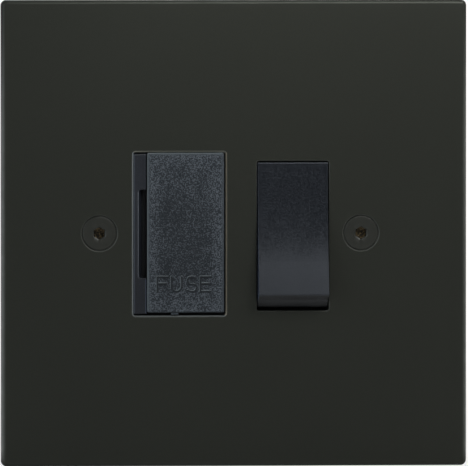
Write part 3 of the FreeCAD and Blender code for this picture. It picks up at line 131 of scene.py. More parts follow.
class PlateSettings(bpy.types.PropertyGroup):
    """The face plate's satin coat."""

    coat: colour("Coat", "Greenish black of the satin coat", (0.0132, 0.0142, 0.0114))
    # Painted highlight: colour of the plate's rim, also used on the edges of its other holes
    rubbed: colour("Rubbed coat", "Colour of the coat where its rim is rubbed", (0.098, 0.102, 0.094))
    # Painted highlight on the bevels round the drawer's aperture
    bevel: colour("Bevel", "Colour of the bevel round the drawer's aperture", (0.066, 0.072, 0.072))
    roughness: share("Roughness", "How matt the coat is", 0.42)
    peel_size: length("Peel size", "Distance between the ripples of the sprayed coat", 0.9 * MM)
    speck_size: length("Speck size", "Size of the finest specks in the coat", 0.16 * MM)
    pillow_width: length("Pillow width", "Width over which the coat's edge rounds off", 2.2 * MM)
    pillow_height: length("Pillow height", "How far the coat falls at its edge", 0.07 * MM)
    # Width of the rim's painted highlight
    rim_highlight_width: length("Rubbed width", "Width of the rubbed rim", 1.4 * MM)


class PlasticSettings(bpy.types.PropertyGroup):
    """The mouldings, the fuse's ceramic and the plungers' nylon."""

    moulding: colour("Moulding", "Colour of the inner moulding", (0.0071, 0.0089, 0.0127))
    # Painted shade: colour of the inner moulding in the recesses behind the plate
    recess_shade: colour("Recess", "Colour of the inner moulding behind the plate", (0.003, 0.003, 0.0033))
    # Painted highlight on the edge left of the screwdriver's notch
    lip: colour("Lip", "Colour of the lip left of the screwdriver's notch", (0.074, 0.083, 0.094))
    housing: colour("Housing", "Colour of the rear housing", (0.016, 0.017, 0.019))
    dust: colour("Dust", "Colour of the dust on the mouldings", (0.09, 0.095, 0.10))
    cover: colour("Drawer", "Colour of the fuse drawer", (0.0040, 0.0053, 0.0072))
    # Painted highlight on the grain's raised spots
    crest_highlight: colour("Drawer highlights", "Colour of the raised spots of its grain", (0.056, 0.065, 0.075))
    cover_edge: colour("Drawer border", "Colour of the drawer's smoother border", (0.027, 0.033, 0.038))
    # Painted light on the slopes at the upper left
    slope_highlight: colour("Drawer slope", "Colour of the slopes at the upper left", (0.085, 0.100, 0.102))
    edge_light: colour("Light edge", "Colour of the drawer's edges towards the light", (0.16, 0.185, 0.19))
    edge_dark: colour("Dark edge", "Colour of the drawer's edges away from the light", (0.004, 0.005, 0.006))
    # Painted shade on the faces of the raised lettering
    letters: colour("Letters", "Colour of the letters' faces", (0.003, 0.004, 0.005))
    rocker: colour("Rocker", "Colour of the rocker", (0.0033, 0.0041, 0.0058))
    # Painted light: the lower end is coloured lighter than the rest of the rocker, as if lit from below
    lit_rocker_end: colour("Rocker end", "Colour of the rocker's matt lower end", (0.032, 0.0325, 0.033))
    grain_size: length("Grain size", "Size of the drawer's spark eroded grain", 0.3 * MM)
    ceramic: colour("Ceramic", "Colour of the fuse's tube", (0.80, 0.78, 0.72))
    ceramic_light: colour("Light ceramic", "Colour of the tube's lighter clouds", (0.88, 0.87, 0.83))
    pin_marks: colour("Pin marks", "Colour of the small marks in the glaze", (0.35, 0.30, 0.24))
    nylon: colour("Nylon", "Colour of the plungers", (0.74, 0.70, 0.60))
    nylon_light: colour("Light nylon", "Colour of the plungers' lighter flow marks", (0.82, 0.79, 0.71))
    nylon_rubbed: colour("Rubbed nylon", "Colour of the rubbing marks", (0.45, 0.42, 0.38))


class MetalSettings(bpy.types.PropertyGroup):
    """The bare and plated metals."""

    brass: colour("Brass", "Clean pressed brass", (0.72, 0.53, 0.26))
    tarnish: colour("Tarnish", "Brass where it has darkened", (0.36, 0.22, 0.10))
    zinc: colour("Zinc", "Plated steel", (0.60, 0.61, 0.62))
    nickel: colour("Nickel", "Plated fuse caps", (0.74, 0.72, 0.68))
    silver: colour("Silver", "Contact rivets", (0.86, 0.85, 0.82))
    blacking: colour("Blacking", "Blackened screw heads", (0.0142, 0.0150, 0.0124))
    bare_steel: colour("Bare steel", "Specks where the blacking is worn", (0.10, 0.098, 0.09))
    socket_wall: colour("Socket wall", "Walls of the screws' sockets", (0.004, 0.004, 0.004))
    socket_floor: colour("Socket floor", "Dirt on the sockets' bottoms", (0.010, 0.008, 0.005))
    spring: colour("Spring", "Spring steel", (0.42, 0.42, 0.43))
    spring_dull: colour("Dull spring", "Spring steel where it has dulled", (0.25, 0.24, 0.23))


class ThreadSettings(bpy.types.PropertyGroup):
    """The fixing screws' cut thread and socket."""

    pitch: length("Pitch", "Advance of the fixing screws' thread in one turn", 0.6 * MM)
    depth: length("Depth", "Depth of the thread", 0.33 * MM)
    shank_radius: length("Shank radius", "Outer radius of the thread", 1.75 * MM)
    neck_radius: length("Neck radius", "Radius of the plain neck under the head", 1.45 * MM)
    head_round: length("Head round", "Rounding of the head's rim", 0.2 * MM)
    head_rim: length("Head rim", "Height of the straight part of the head's rim", 0.35 * MM)
    socket_flats: length("Socket", "Width across the socket's flats", 2.5 * MM)
    socket_depth: length("Socket depth", "Depth of the socket", 1.9 * MM)
    socket_bevel: length("Socket bevel", "Bevel round the socket's mouth", 0.2 * MM)
    facets: IntProperty(name="Facets", description="Facets round the screw", default=48, min=12)


class StageSettings(bpy.types.PropertyGroup):
    """The camera, the lamps and the floor."""

    azimuth: degrees("Azimuth", "Angle of the camera round the object", -4.5)
    elevation: degrees("Elevation", "Angle of the camera above level", 2.0)
    distance: length("Distance", "Distance of the camera", 3.5)
    frame_width: length("Frame width", "Width that the camera sees at the plate", 107.62 * MM)
    aim_right: offset("Aim right", "How far right of the plate's middle the camera aims", 0.07 * MM)
    aim_up: offset("Aim up", "How far above the plate's middle the camera aims", -0.04 * MM)
    floor_colour: colour("Floor", "Colour of the floor", (0.86, 0.86, 0.86))
    floor_half: length("Floor half", "Half of the length of the floor's side", 6.0)
    floor_gap: length("Floor gap", "Gap between the unit and the floor", 0.2 * MM)
    world_level: share("World", "Brightness of the dim surroundings", 0.08)
    key_power: watts("Key", "Power of the soft lamp at the upper right", 0.95)
    left_power: watts("Left", "Power of the left panel", 2.7)
    right_power: watts("Right", "Power of the right panel", 0.7)
    low_power: watts("Low", "Power of the low lamp in front", 0.2)
    back_power: watts("Back", "Power of the panel behind the unit", 6.0)
    top_power: watts("Top", "Power of the small lamp over the plate's top", 0.020)


def settings():
    """The scene's settings for this unit."""
    return bpy.context.scene.spur_unit


class UnitSettings(bpy.types.PropertyGroup):
    """All settings of the unit."""

    plate: PointerProperty(type=PlateSettings)
    plastic: PointerProperty(type=PlasticSettings)
    metal: PointerProperty(type=MetalSettings)
    thread: PointerProperty(type=ThreadSettings)
    stage: PointerProperty(type=StageSettings)


class Signal:
    """A shader socket that Python's operators work on."""

    def __init__(self, finish, socket):
        self.finish = finish
        self.socket = socket

    def maths(self, operation, *values):
        """A Math node on the given values."""
        return self.finish.node("ShaderNodeMath", {"operation": operation}, dict(enumerate(values)))

    def __add__(self, other):
        return self.maths("ADD", self, other)

    def __radd__(self, other):
        return self.maths("ADD", other, self)

    def __sub__(self, other):
        return self.maths("SUBTRACT", self, other)

    def __rsub__(self, other):
        return self.maths("SUBTRACT", other, self)

    def __mul__(self, other):
        return self.maths("MULTIPLY", self, other)

    def __rmul__(self, other):
        return self.maths("MULTIPLY", other, self)

    def __truediv__(self, other):
        return self.maths("DIVIDE", self, other)

    def __pow__(self, other):
        return self.maths("POWER", self, other)

    def lesser(self, other):
        """The smaller of this and another value."""
        return self.maths("MINIMUM", self, other)

    def fade_over(self, width):
        """1 where this is 0, and evenly down to 0 at a width."""
        return self.maths("MAXIMUM", 1.0 - self / width, 0.0)

    def between(self, low, high):
        """0 below low, 1 above high, and smooth between."""
        sockets = {"Value": self, "From Min": low, "From Max": high}
        return self.finish.node("ShaderNodeMapRange", {"interpolation_type": "SMOOTHSTEP"}, sockets)


class Finish:
    """The shader nodes of a material, or of the world, in the making."""

    def __init__(self, name, world=False):
        library = bpy.data.worlds if world else bpy.data.materials
        self.owner = library.new(name)
        self.owner.use_nodes = True
        self.tree = self.owner.node_tree
        self.tree.nodes.clear()

    def node(self, kind, options=None, sockets=None, output=0):
        """A node of any type: its options first, then its sockets' values or links."""
        made = self.tree.nodes.new(kind)
        for name, value in (options or {}).items():
            setattr(made, name, value)
        for name, value in (sockets or {}).items():
            socket = made.inputs[name]
            if isinstance(value, Signal):
                self.tree.links.new(value.socket, socket)
            elif socket.type == "RGBA":
                socket.default_value = (*value, 1)
            else:
                socket.default_value = value
        return Signal(self, made.outputs[output]) if len(made.outputs) else None

    def vector_maths(self, operation, *values, output="Value"):
        """A Vector Math node on the given vectors."""
        return self.node("ShaderNodeVectorMath", {"operation": operation}, dict(enumerate(values)), output)

    def place(self, stretch=(1, 1, 1)):
        """The point on the piece, in metres, with each axis stretched."""
        point = self.node("ShaderNodeTexCoord", output="Object")
        if stretch == (1, 1, 1):
            return point
        return self.node("ShaderNodeMapping", None, {"Vector": point, "Scale": stretch})

    def along(self, axis):
        """One coordinate of the point on the piece."""
        return self.node("ShaderNodeSeparateXYZ", None, {0: self.place()}, output=axis)

    def noise(self, size, detail=2.0, stretch=(1, 1, 1), warp=0.0, rough=0.5):
        """Soft blotches of a size in metres, from 0 to 1."""
        sockets = {
            "Vector": self.place(stretch),
            "Scale": 1 / size,
            "Detail": detail,
            "Distortion": warp,
            "Roughness": rough,
        }
        return self.node("ShaderNodeTexNoise", None, sockets)

    def cells(self, size):
        """The distance to scattered points a size apart, in cells."""
        return self.node("ShaderNodeTexVoronoi", None, {"Vector": self.place(), "Scale": 1 / size})

    def blend(self, amount, first, second, way="MIX"):
        """Two colours mixed by an amount."""
        options = {"data_type": "RGBA", "blend_type": way}
        return self.node("ShaderNodeMix", options, {0: amount, 6: first, 7: second}, output=2)

    def tint(self, shade, tone):
        """A colour made lighter or darker by a factor."""
        grey = self.node("ShaderNodeCombineColor", None, {0: tone, 1: tone, 2: tone})
        return self.blend(1.0, shade, grey, "MULTIPLY")

    def to_outline(self, node):
        """The distance to the nearest side of a node's front outline."""
        low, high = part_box(node)
        x = self.along(ACROSS)
        z = self.along(UPRIGHT)
        across = (x - low.x).lesser(high.x - x)
        upright = (z - low.z).lesser(high.z - z)
        return across.lesser(upright)

    def inside(self, node, margin):
        """1 within a node's front outline and a margin round it, 0 outside."""
        blur = 0.02 * MM
        return self.to_outline(node).between(-margin, -margin + blur)

    def soft_edges(self, radius):
        """A normal that rounds the sharp edges by a radius."""
        return self.node("ShaderNodeBevel", {"samples": 6}, {"Radius": radius})

    def unrounded(self):
        """The normal of the piece as it was made."""
        return self.node("ShaderNodeNewGeometry", output="Normal")

    def lean(self, rounded):
        """How far a rounded normal leans away from the unrounded one: a vector."""
        return self.vector_maths("SUBTRACT", rounded, self.unrounded(), output="Vector")

    def rim_of(self, rounded):
        """1 on sharp edges, 0 on flat faces."""
        return self.vector_maths("LENGTH", self.lean(rounded)).between(0.08, 0.40)

    def facing(self, rounded, direction):
        """1 on edges that look in a direction, 0 elsewhere."""
        return self.vector_maths("DOT_PRODUCT", self.lean(rounded), direction).between(0.06, 0.35)

    def looks(self, direction, low, high):
        """1 on facets that look in a direction, 0 on those that look away."""
        return self.vector_maths("DOT_PRODUCT", self.unrounded(), direction).between(low, high)

    def relief(self, height, distance, strength, normal=None):
        """A normal with small relief; the distance is how high a height of 1 stands."""
        sockets = {"Height": height, "Distance": distance, "Strength": strength}
        if normal:
            sockets["Normal"] = normal
        return self.node("ShaderNodeBump", None, sockets)

    def surface(self, base, roughness, normal, metallic=0.0, specular=0.5, tint=(1, 1, 1), coat=0.0):
        """Ends the material with its shader."""
        sockets = {
            "Base Color": base,
            "Roughness": roughness,
            "Normal": normal,
            "Metallic": metallic,
            "Specular IOR Level": specular,
            "Specular Tint": tint,
            "Coat Weight": coat,
        }
        shader = self.node("ShaderNodeBsdfPrincipled", None, sockets)
        self.node("ShaderNodeOutputMaterial", None, {"Surface": shader})
        return self.owner


def scaled(shade, times):
    """A plain colour made lighter or darker."""
    return [times * part for part in shade]


def satin_coat():
    """Sprayed satin coat of the face plate: faint ripples, fine specks, a softly pillowed edge, and painted
    highlights on its rim and round its holes.
    """
    plate = settings().plate
    finish = Finish("satin_black_coat")
    ripples = finish.noise(plate.peel_size, detail=2.0)
    specks = finish.noise(plate.speck_size, detail=1.0)
    clouds = finish.noise(28 * MM, detail=3.0)
    base = finish.tint(plate.coat, 0.84 + 0.16 * clouds + 0.75 * (specks - 0.5))

    # The rim carries a painted highlight for the reflection of the side lamps: full at the sides, less and
    # less towards the top, and none along the bottom
    low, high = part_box("front_plate")
    edge = finish.to_outline("front_plate")
    height = finish.along(UPRIGHT)
    above_bottom = (height - low.z).between(0.0, 4 * MM)
    near_top = (height - high.z).between(-34 * MM, -0.5 * MM)
    sides = above_bottom * (1.0 - near_top)
    patches = 0.8 + 0.2 * finish.noise(2.5 * MM, detail=4.0).between(0.4, 0.7)
    rubbed = edge.fade_over(plate.rim_highlight_width) ** 3 * sides * patches
    base = finish.blend(rubbed, base, scaled(plate.rubbed, 1.7))

    # Slopes are the facets between the face and its sides. The drawer's aperture gets a painted highlight on
    # its bevels, brightest where they look to a side or down, and the edges of the other holes a faint
    # painted highlight in the rim's colour
    slope = finish.looks(FRONT, 0.45, 0.60) * (1.0 - finish.looks(FRONT, 0.85, 0.95))
    by_drawer = finish.inside("fuse_carrier", 4.5 * MM)
    base = finish.blend(0.9 * slope * by_drawer, base, plate.bevel)
    highlight_lifts = {RIGHT: (1.7, 1.75, 1.8), LEFT: (1.9, 1.6, 1.25), DOWN: (1.9, 1.75, 1.5)}
    for direction, lift in highlight_lifts.items():
        side = slope * by_drawer * finish.looks(direction, 0.45, 0.60)
        base = finish.blend(side, base, [part * more for part, more in zip(plate.bevel, lift)])
    base = finish.blend(0.3 * slope * (1.0 - by_drawer) * edge.between(2 * MM, 3 * MM), base, plate.rubbed)

    roughness = plate.roughness - 0.06 * (ripples - 0.5) + 0.10 * (specks - 0.5) - 0.08 * rubbed
    fall = edge.fade_over(plate.pillow_width)
    normal = finish.relief(1.0 - fall * fall, plate.pillow_height, 1.0, finish.soft_edges(0.2 * MM))
    normal = finish.relief(ripples + 0.25 * specks, 0.012 * MM, 0.5, normal)
    return finish.surface(base, roughness, normal, specular=0.2, tint=(0.96, 1.0, 0.90))


def smooth_plastic(name, shade, roughness, gloss, face=None):
    """A smooth black moulding: faint flow marks, dust, soft edges and a painted highlight on fillets that
    look left; with a face's depth, a front with painted light and shade.
    """
    finish = Finish(name)
    flow = finish.noise(6 * MM, detail=3.0, stretch=(1, 1, 0.35), warp=0.6)
    fine = finish.noise(0.35 * MM, detail=2.0)
    dust = finish.noise(0.22 * MM, detail=1.0).between(0.62, 0.80)
    base = finish.blend(flow.between(0.3, 0.7), scaled(shade, 0.82), scaled(shade, 1.16))
    base = finish.blend(0.25 * dust, base, settings().plastic.dust)
    roughness = roughness + 0.10 * (fine - 0.5) + 0.12 * dust
    if face is not None:
        deep = finish.along(INWARD).between(face + 0.2 * MM, face + 2.0 * MM)
        base = shaded_front(finish, base, shade, deep)
        roughness = roughness + 0.35 * deep

    # Painted highlight: rounded edges that look to the left are painted lighter
    left_fillet_highlight = finish.looks(FRONT, 0.15, 0.30) * finish.looks((-0.9, 0, 0.1), 0.10, 0.30)
    base = finish.blend(0.4 * left_fillet_highlight, base, scaled(shade, 4.0))
    normal = finish.relief(fine + 0.8 * flow, 0.006 * MM, 0.6, finish.soft_edges(0.18 * MM))
    return finish.surface(base, roughness, normal, specular=gloss)


def shaded_front(finish, base, shade, deep):
    """The inner moulding's front: painted shade in its recesses, painted shade towards the bottom of the
    strip, a painted highlight on the edge left of the notch and painted light on facets that look right.
    """
    plastic = settings().plastic
    height = finish.along(UPRIGHT)
    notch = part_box("fuse_carrier")[0].x - 1.9 * MM
    left_of_notch = 1.0 - finish.along(ACROSS).between(notch - 0.1 * MM, notch)
    below_notch = 1.0 - height.between(-10.6 * MM, -10.4 * MM)
    # Painted shade in the recesses behind the plate
    base = finish.blend(0.75 * deep, base, plastic.recess_shade)
    # Painted highlight on the right-facing edge left of the notch
    lip = finish.facing(finish.soft_edges(0.6 * MM), (0.9, 0, 0)) * left_of_notch * (1.0 - deep)
    base = finish.blend(lip, base, plastic.lip)
    # Painted shade: darker towards the bottom, as the light falls from above
    base = finish.tint(base, 0.68 + 0.32 * height.between(-20 * MM, 6 * MM))
    # Painted light on facets that look right and forward, right of the notch and below it
    side = finish.looks(FRONT, 0.15, 0.30) * finish.looks(RIGHT, 0.10, 0.30) * (1.0 - left_of_notch)
    return finish.blend(0.8 * side * below_notch, base, scaled(shade, 6.0))


def grained_plastic():
    """The drawer's spark eroded grain: coarse pits, crests with a painted highlight, smoother and lighter
    edges, and painted light and shade on its slopes, its edges and its lettering.
    """
    plastic = settings().plastic
    finish = Finish("grained_grey_plastic")
    grain = plastic.grain_size
    crumbs = finish.noise(grain, detail=2.0, rough=0.6)
    pits = finish.noise(2.4 * grain, detail=2.0)
    patches = finish.noise(7 * MM, detail=3.0, warp=0.8)
    height = 0.8 * crumbs + 0.2 * pits

    # The grain is darker away from the outline, most in a middle band, and smoother in a narrow border
    edge = finish.to_outline("fuse_carrier")
    inner = edge.between(0.4 * MM, 5.0 * MM)
    border = 1.0 - edge.between(0.25 * MM, 0.9 * MM)
    upright = finish.along(UPRIGHT)
    middle = (1.0 - upright.between(3 * MM, 11 * MM)) * upright.between(-14 * MM, -9 * MM)
    dark = (0.5 * middle + 0.5 * patches.between(0.35, 0.70)) * inner
    # The crests get a painted highlight
    crest = (height - 0.07 * dark).between(0.44, 0.59)
    base = finish.blend(crest, plastic.cover, plastic.crest_highlight)
    base = finish.tint(base, 1.0 - 0.20 * inner - 0.20 * dark)
    base = finish.blend(0.7 * border, base, plastic.cover_edge)

    # Painted light and shade: facets near the front and edges that look up and to the left are painted
    # lighter, and edges that look down and to the right darker
    front = min(corner.co.y for corner in NODES["fuse_carrier"].data.vertices)
    depth = finish.along(INWARD)
    near_front = 1.0 - depth.between(front + 0.5 * MM, front + 0.8 * MM)
    lit = finish.looks((-0.8, 0, 0.6), 0.15, 0.6) * near_front
    rounded = finish.soft_edges(0.2 * MM)
    base = finish.blend(0.8 * lit, base, plastic.slope_highlight)
    base = finish.blend(0.9 * finish.facing(rounded, (-0.65, 0, 0.75)), base, plastic.edge_light)
    base = finish.blend(0.85 * finish.facing(rounded, (0.65, 0, -0.75)), base, plastic.edge_dark)

    # The lettering stands out furthest; its faces carry painted shade, in place of the dark shadow beside
    # each stroke
    letters = 1.0 - depth.between(front + 0.05 * MM, front + 0.11 * MM)
    base = finish.blend(0.85 * letters, base, plastic.letters)
    roughness = 0.58 + 0.16 * (crumbs - 0.5) - 0.10 * border
    normal = finish.relief(height * (1.0 - 0.7 * border), 0.08 * MM, 0.8, rounded)
    return finish.surface(base, roughness, normal, specular=0.3, tint=(0.85, 0.93, 1.0))


def rocker_plastic():
    """The rocker's smooth satin face with fine handling marks and painted highlights on its edges and left
    side, and its matt lower end, painted lighter as if lit from below.
    """
    plastic = settings().plastic
    finish = Finish("satin_rocker_plastic")
    handling = finish.noise(5 * MM, detail=4.0, stretch=(1, 1, 0.6), warp=0.4)
    fine = finish.noise(0.36 * MM, detail=2.0).between(0.32, 0.68)
    hairlines = finish.noise(0.5 * MM, detail=2.0, stretch=(1, 1, 0.06)).between(0.62, 0.72)
    frontmost = min(NODES["rocker"].data.vertices, key=lambda corner: corner.co.y).co.z
    lower_end = 1.0 - finish.along(UPRIGHT).between(frontmost - 0.25 * MM, frontmost)
    base = finish.blend(handling, plastic.rocker, scaled(plastic.rocker, 1.25))
    base = finish.tint(base, 0.8 + 0.4 * fine)
    # The lower end is matt; its lighter colour is painted light, as if lit from below
    base = finish.blend(lower_end, base, finish.tint(plastic.lit_rocker_end, 0.95 + 0.3 * fine))
    rounded = finish.soft_edges(0.14 * MM)
    # Painted highlight on the rocker's rounded edges, and painted light on its left side walls
    rim = 0.4 * finish.rim_of(rounded) * (1.0 - lower_end)
    base = finish.blend(rim, base, scaled(plastic.rocker, 6.0))
    base = finish.blend(finish.looks(LEFT, 0.3, 0.8), base, scaled(plastic.rocker, 11.0))
    roughness = 0.36 + 0.10 * (handling - 0.5) + 0.13 * (fine - 0.5) + 0.05 * hairlines + 0.2 * lower_end
    normal = finish.relief(0.6 * fine + 0.4 * handling - 0.3 * hairlines, 0.006 * MM, 0.6, rounded)
    return finish.surface(base, roughness, normal, specular=0.37, tint=(0.84, 0.91, 1.0))


def metal(name, clean, dull, roughness, mark=0.25 * MM, streak=(1, 1, 1)):
    """A plain metal with drawn marks of a size and dull patches."""
    finish = Finish(name)
    patches = finish.noise(3.2 * MM, detail=5.0, rough=0.6, warp=0.5)
    marks = finish.noise(mark, detail=3.0, stretch=streak)
    specks = finish.cells(0.9 * MM).between(0.0, 0.16)
    dulled = patches.between(0.42, 0.74)
    base = finish.blend(dulled, clean, dull)
    base = finish.blend(0.5 * (1.0 - specks), base, dull)
    normal = finish.relief(marks + 0.3 * patches, 0.01 * MM, 0.6, finish.soft_edges(0.1 * MM))
    return finish.surface(base, roughness + 0.14 * dulled + 0.12 * (marks - 0.5), normal, metallic=1.0)


def blackened_steel():
    """The screws' blackened finish: mottled, with steel showing through in specks."""
    colours = settings().metal
    finish = Finish("blackened_steel")
    mottle = finish.noise(1.1 * MM, detail=4.0)
    fine = finish.noise(0.14 * MM, detail=2.0)
    worn = finish.noise(0.5 * MM, detail=3.0).between(0.66, 0.78)
    base = finish.blend(mottle, colours.blacking, scaled(colours.blacking, 1.5))
    base = finish.blend(0.35 * worn, base, colours.bare_steel)
    roughness = 0.40 + 0.12 * (fine - 0.5) + 0.1 * worn
    normal = finish.relief(fine + 0.5 * mottle, 0.008 * MM, 0.6)
    return finish.surface(base, roughness, normal, metallic=0.25, specular=0.25)


def worn_socket():
    """The bottom of a socket, where the blacking has rubbed off the brass."""
    colours = settings().metal
    finish = Finish("worn_brass_socket")
    patches = finish.noise(0.55 * MM, detail=4.0, warp=0.8)
    fine = finish.noise(0.12 * MM, detail=2.0)
    bare = patches.between(0.44, 0.60)
    floor = finish.looks(FRONT, 0.5, 0.8)
    worn = finish.blend(bare, colours.socket_floor, scaled(colours.brass, 0.20))
    base = finish.blend(floor, colours.socket_wall, worn)
    normal = finish.relief(patches + 0.5 * fine, 0.05 * MM, 0.7)
    return finish.surface(base, 0.6 - 0.15 * bare, normal, metallic=0.4 * bare * floor, specular=0.2)


def glazed_ceramic():
    """The fuse's tube: off-white ceramic with a thin glaze, soft clouds and pin marks."""
    plastic = settings().plastic
    finish = Finish("glazed_ceramic")
    clouds = finish.noise(4 * MM, detail=3.0)
    pins = 1.0 - finish.cells(1.3 * MM).between(0.04, 0.10)
    base = finish.blend(clouds, plastic.ceramic, plastic.ceramic_light)
    base = finish.blend(0.6 * pins, base, plastic.pin_marks)
    normal = finish.relief(clouds - 0.5 * pins, 0.02 * MM, 0.5)
    return finish.surface(base, 0.22 + 0.08 * clouds, normal, coat=0.3)


def natural_nylon():
    """The plungers' natural nylon, slightly waxy, with rubbing marks along their travel."""
    plastic = settings().plastic
    finish = Finish("natural_nylon")
    flow = finish.noise(1.5 * MM, detail=2.0)
    rubs = finish.noise(0.3 * MM, detail=2.0, stretch=(1, 0.1, 1)).between(0.55, 0.75)
    base = finish.blend(flow, plastic.nylon, plastic.nylon_light)
    base = finish.blend(0.3 * rubs, base, plastic.nylon_rubbed)
    normal = finish.relief(flow + 0.4 * rubs, 0.01 * MM, 0.5)
    return finish.surface(base, 0.42 + 0.1 * rubs, normal)


def dress(material, *names):
    """Gives CAD nodes their material."""
    for name in names:
        mesh = NODES[name].data
        mesh.materials.clear()
        mesh.materials.append(material)


class SPUR_OT_face_plate(bpy.types.Operator):
    """Coat the face plate"""

    bl_idname = "spur_unit.face_plate"
    bl_label = "Face Plate"

    def execute(self, context):
        dress(satin_coat(), "front_plate")
        return {"FINISHED"}


def add_ring(mesh, centre, y, radius_at, facets):
    """One ring of corners about a screw's axis."""
    ring = []
    for step in range(facets):
        turn = 2 * math.pi * step / facets
        x = centre.x + radius_at(turn) * math.cos(turn)
        z = centre.z + radius_at(turn) * math.sin(turn)
        ring.append(mesh.verts.new((x, y, z)))
    return ring


def join_rings(mesh, first, second, material):
    """The band of faces between two rings."""
    count = len(first)
    for step in range(count):
        after = (step + 1) % count
        face = mesh.faces.new((first[step], second[step], second[after], first[after]))
        face.material_index = material
        face.smooth = True


def close_ring(mesh, ring, centre, y, material, outward):
    """A disc of faces that closes a ring."""
    tip = mesh.verts.new((centre.x, y, centre.z))
    count = len(ring)
    for step in range(count):
        corners = (ring[step], ring[(step + 1) % count], tip)
        face = mesh.faces.new(corners if outward else corners[::-1])
        face.material_index = material


def plain(radius):
    """A round ring: the same radius at every angle."""
    return lambda angle: radius


def hexagon(flats):
    """A hexagonal ring, by the width across its flats."""

    def radius_at(angle):
        around_flat = (angle - math.pi / 6) % (math.pi / 3) - math.pi / 6
        return flats / 2 / math.cos(around_flat)

    return radius_at


def helix(core, depth, turns, fade):
    """A ring through a thread after a number of turns; the fade sinks its ridge into the core."""
    half_ridge = 0.42
    overfill = 1.15

    def radius_at(angle):
        phase = (turns - angle / (2 * math.pi)) % 1.0
        ridge = max(0.0, 1 - abs(phase - 0.5) / half_ridge)
        return core + depth * min(1.0, overfill * ridge) * fade

    return radius_at


def head_rings(thread, front, head_radius):
    """The rings from the socket's bottom to the end of the neck, each as its y and its radius."""
    socket = hexagon(thread.socket_flats)
    socket_corner = thread.socket_flats / math.sqrt(3)
    rings = [
        (front + thread.socket_depth, socket),
        (front + thread.socket_bevel, socket),
        (front, plain(socket_corner + thread.socket_bevel)),
        (front, plain(head_radius * 0.7)),
        (front, plain(head_radius - thread.head_round)),
    ]
    round_steps = 4
    for step in range(1, round_steps + 1):
        turn = math.radians(90 * step / round_steps)
        y = front + thread.head_round * (1 - math.cos(turn))
        rings.append((y, plain(head_radius - thread.head_round * (1 - math.sin(turn)))))
    cone_start = front + thread.head_rim
    cone_end = cone_start + head_radius - thread.neck_radius
    return rings + [
        (cone_start, plain(head_radius)),
        (cone_end, plain(thread.neck_radius)),
        (0.0, plain(thread.neck_radius)),
    ]


def thread_rings(thread, end):
    """The rings of the shank from the wall plane on: the thread, and its blunt end."""
    core = thread.shank_radius - thread.depth
    threaded = end - thread.shank_radius / 3
    steps_in_turn = 8
    count = int(threaded / thread.pitch * steps_in_turn)
    rings = []
    for step in range(1, count + 1):
        y = threaded * step / count
        fade = min(1.0, y / thread.pitch, (end - y) / thread.pitch)
        rings.append((y, helix(core, thread.depth, y / thread.pitch, fade)))
    return rings + [(end, plain(core * 0.8))]


def fixing_screw_mesh(node):
    """A countersunk socket screw with a cut thread, in the place of a CAD screw."""
    thread = settings().thread
    low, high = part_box(node)
    centre = (low + high) / 2
    rows = head_rings(thread, low.y, (high.x - low.x) / 2) + thread_rings(thread, high.y)
    mesh = bmesh.new()
    rings = [add_ring(mesh, centre, y, radius_at, thread.facets) for y, radius_at in rows]
    for first, second in zip(rings, rings[1:]):
        join_rings(mesh, first, second, SOCKET if first is rings[0] else BLACKING)
    close_ring(mesh, rings[0], centre, low.y + thread.socket_depth, SOCKET, True)
    close_ring(mesh, rings[-1], centre, high.y, BLACKING, False)
    bmesh.ops.recalc_face_normals(mesh, faces=mesh.faces)
    data = bpy.data.meshes.new(f"threaded_{node}")
    mesh.to_mesh(data)
    mesh.free()
    data.set_sharp_from_angle(angle=math.radians(32))
    return data


class SPUR_OT_fixing_screws(bpy.types.Operator):
    """Cut the threads of the two fixing screws and blacken them"""

    bl_idname = "spur_unit.fixing_screws"
    bl_label = "Fixing Screws"

    def execute(self, context):
        blacking, socket = blackened_steel(), worn_socket()
        for node in ("left_fixing_screw", "right_fixing_screw"):
            screw = bpy.data.objects.new(f"threaded_{node}", fixing_screw_mesh(node))
            context.collection.objects.link(screw)
            screw.data.materials.append(blacking)
            screw.data.materials.append(socket)
            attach(screw, "unit")
            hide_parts(node)
        return {"FINISHED"}


class SPUR_OT_mouldings(bpy.types.Operator):
    """Finish the inner moulding and the rear housing"""

    bl_idname = "spur_unit.mouldings"
    bl_label = "Mouldings"

    def execute(self, context):
        plastic = settings().plastic
        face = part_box("front_plate")[0].y + 0.2 * MM
        dress(smooth_plastic("black_moulding", plastic.moulding, 0.44, 0.25, face), "front_moulding")
        dress(smooth_plastic("black_housing", plastic.housing, 0.46, 0.4), "rear_housing")
        return {"FINISHED"}


class SPUR_OT_fuse_drawer(bpy.types.Operator):
    """Grain the fuse drawer and finish the fuse in it"""

    bl_idname = "spur_unit.fuse_drawer"
    bl_label = "Fuse Drawer"

    def execute(self, context):
        colours = settings().metal
        dress(grained_plastic(), "fuse_carrier")
        dress(glazed_ceramic(), "fuse_barrel")
        caps = metal("nickel_plate", colours.nickel, scaled(colours.nickel, 0.7), 0.20)
        dress(caps, "fuse_upper_cap", "fuse_lower_cap")
        return {"FINISHED"}


class SPUR_OT_rocker(bpy.types.Operator):
    """Finish the rocker, its plungers and their springs"""

    bl_idname = "spur_unit.rocker"
    bl_label = "Rocker"

    def execute(self, context):
        colours = settings().metal
        dress(rocker_plastic(), "rocker")
        dress(natural_nylon(), "live_plunger", "neutral_plunger")
        spring = metal("spring_steel", colours.spring, colours.spring_dull, 0.30, mark=0.08 * MM)
        dress(spring, "live_plunger_spring", "neutral_plunger_spring")
        return {"FINISHED"}


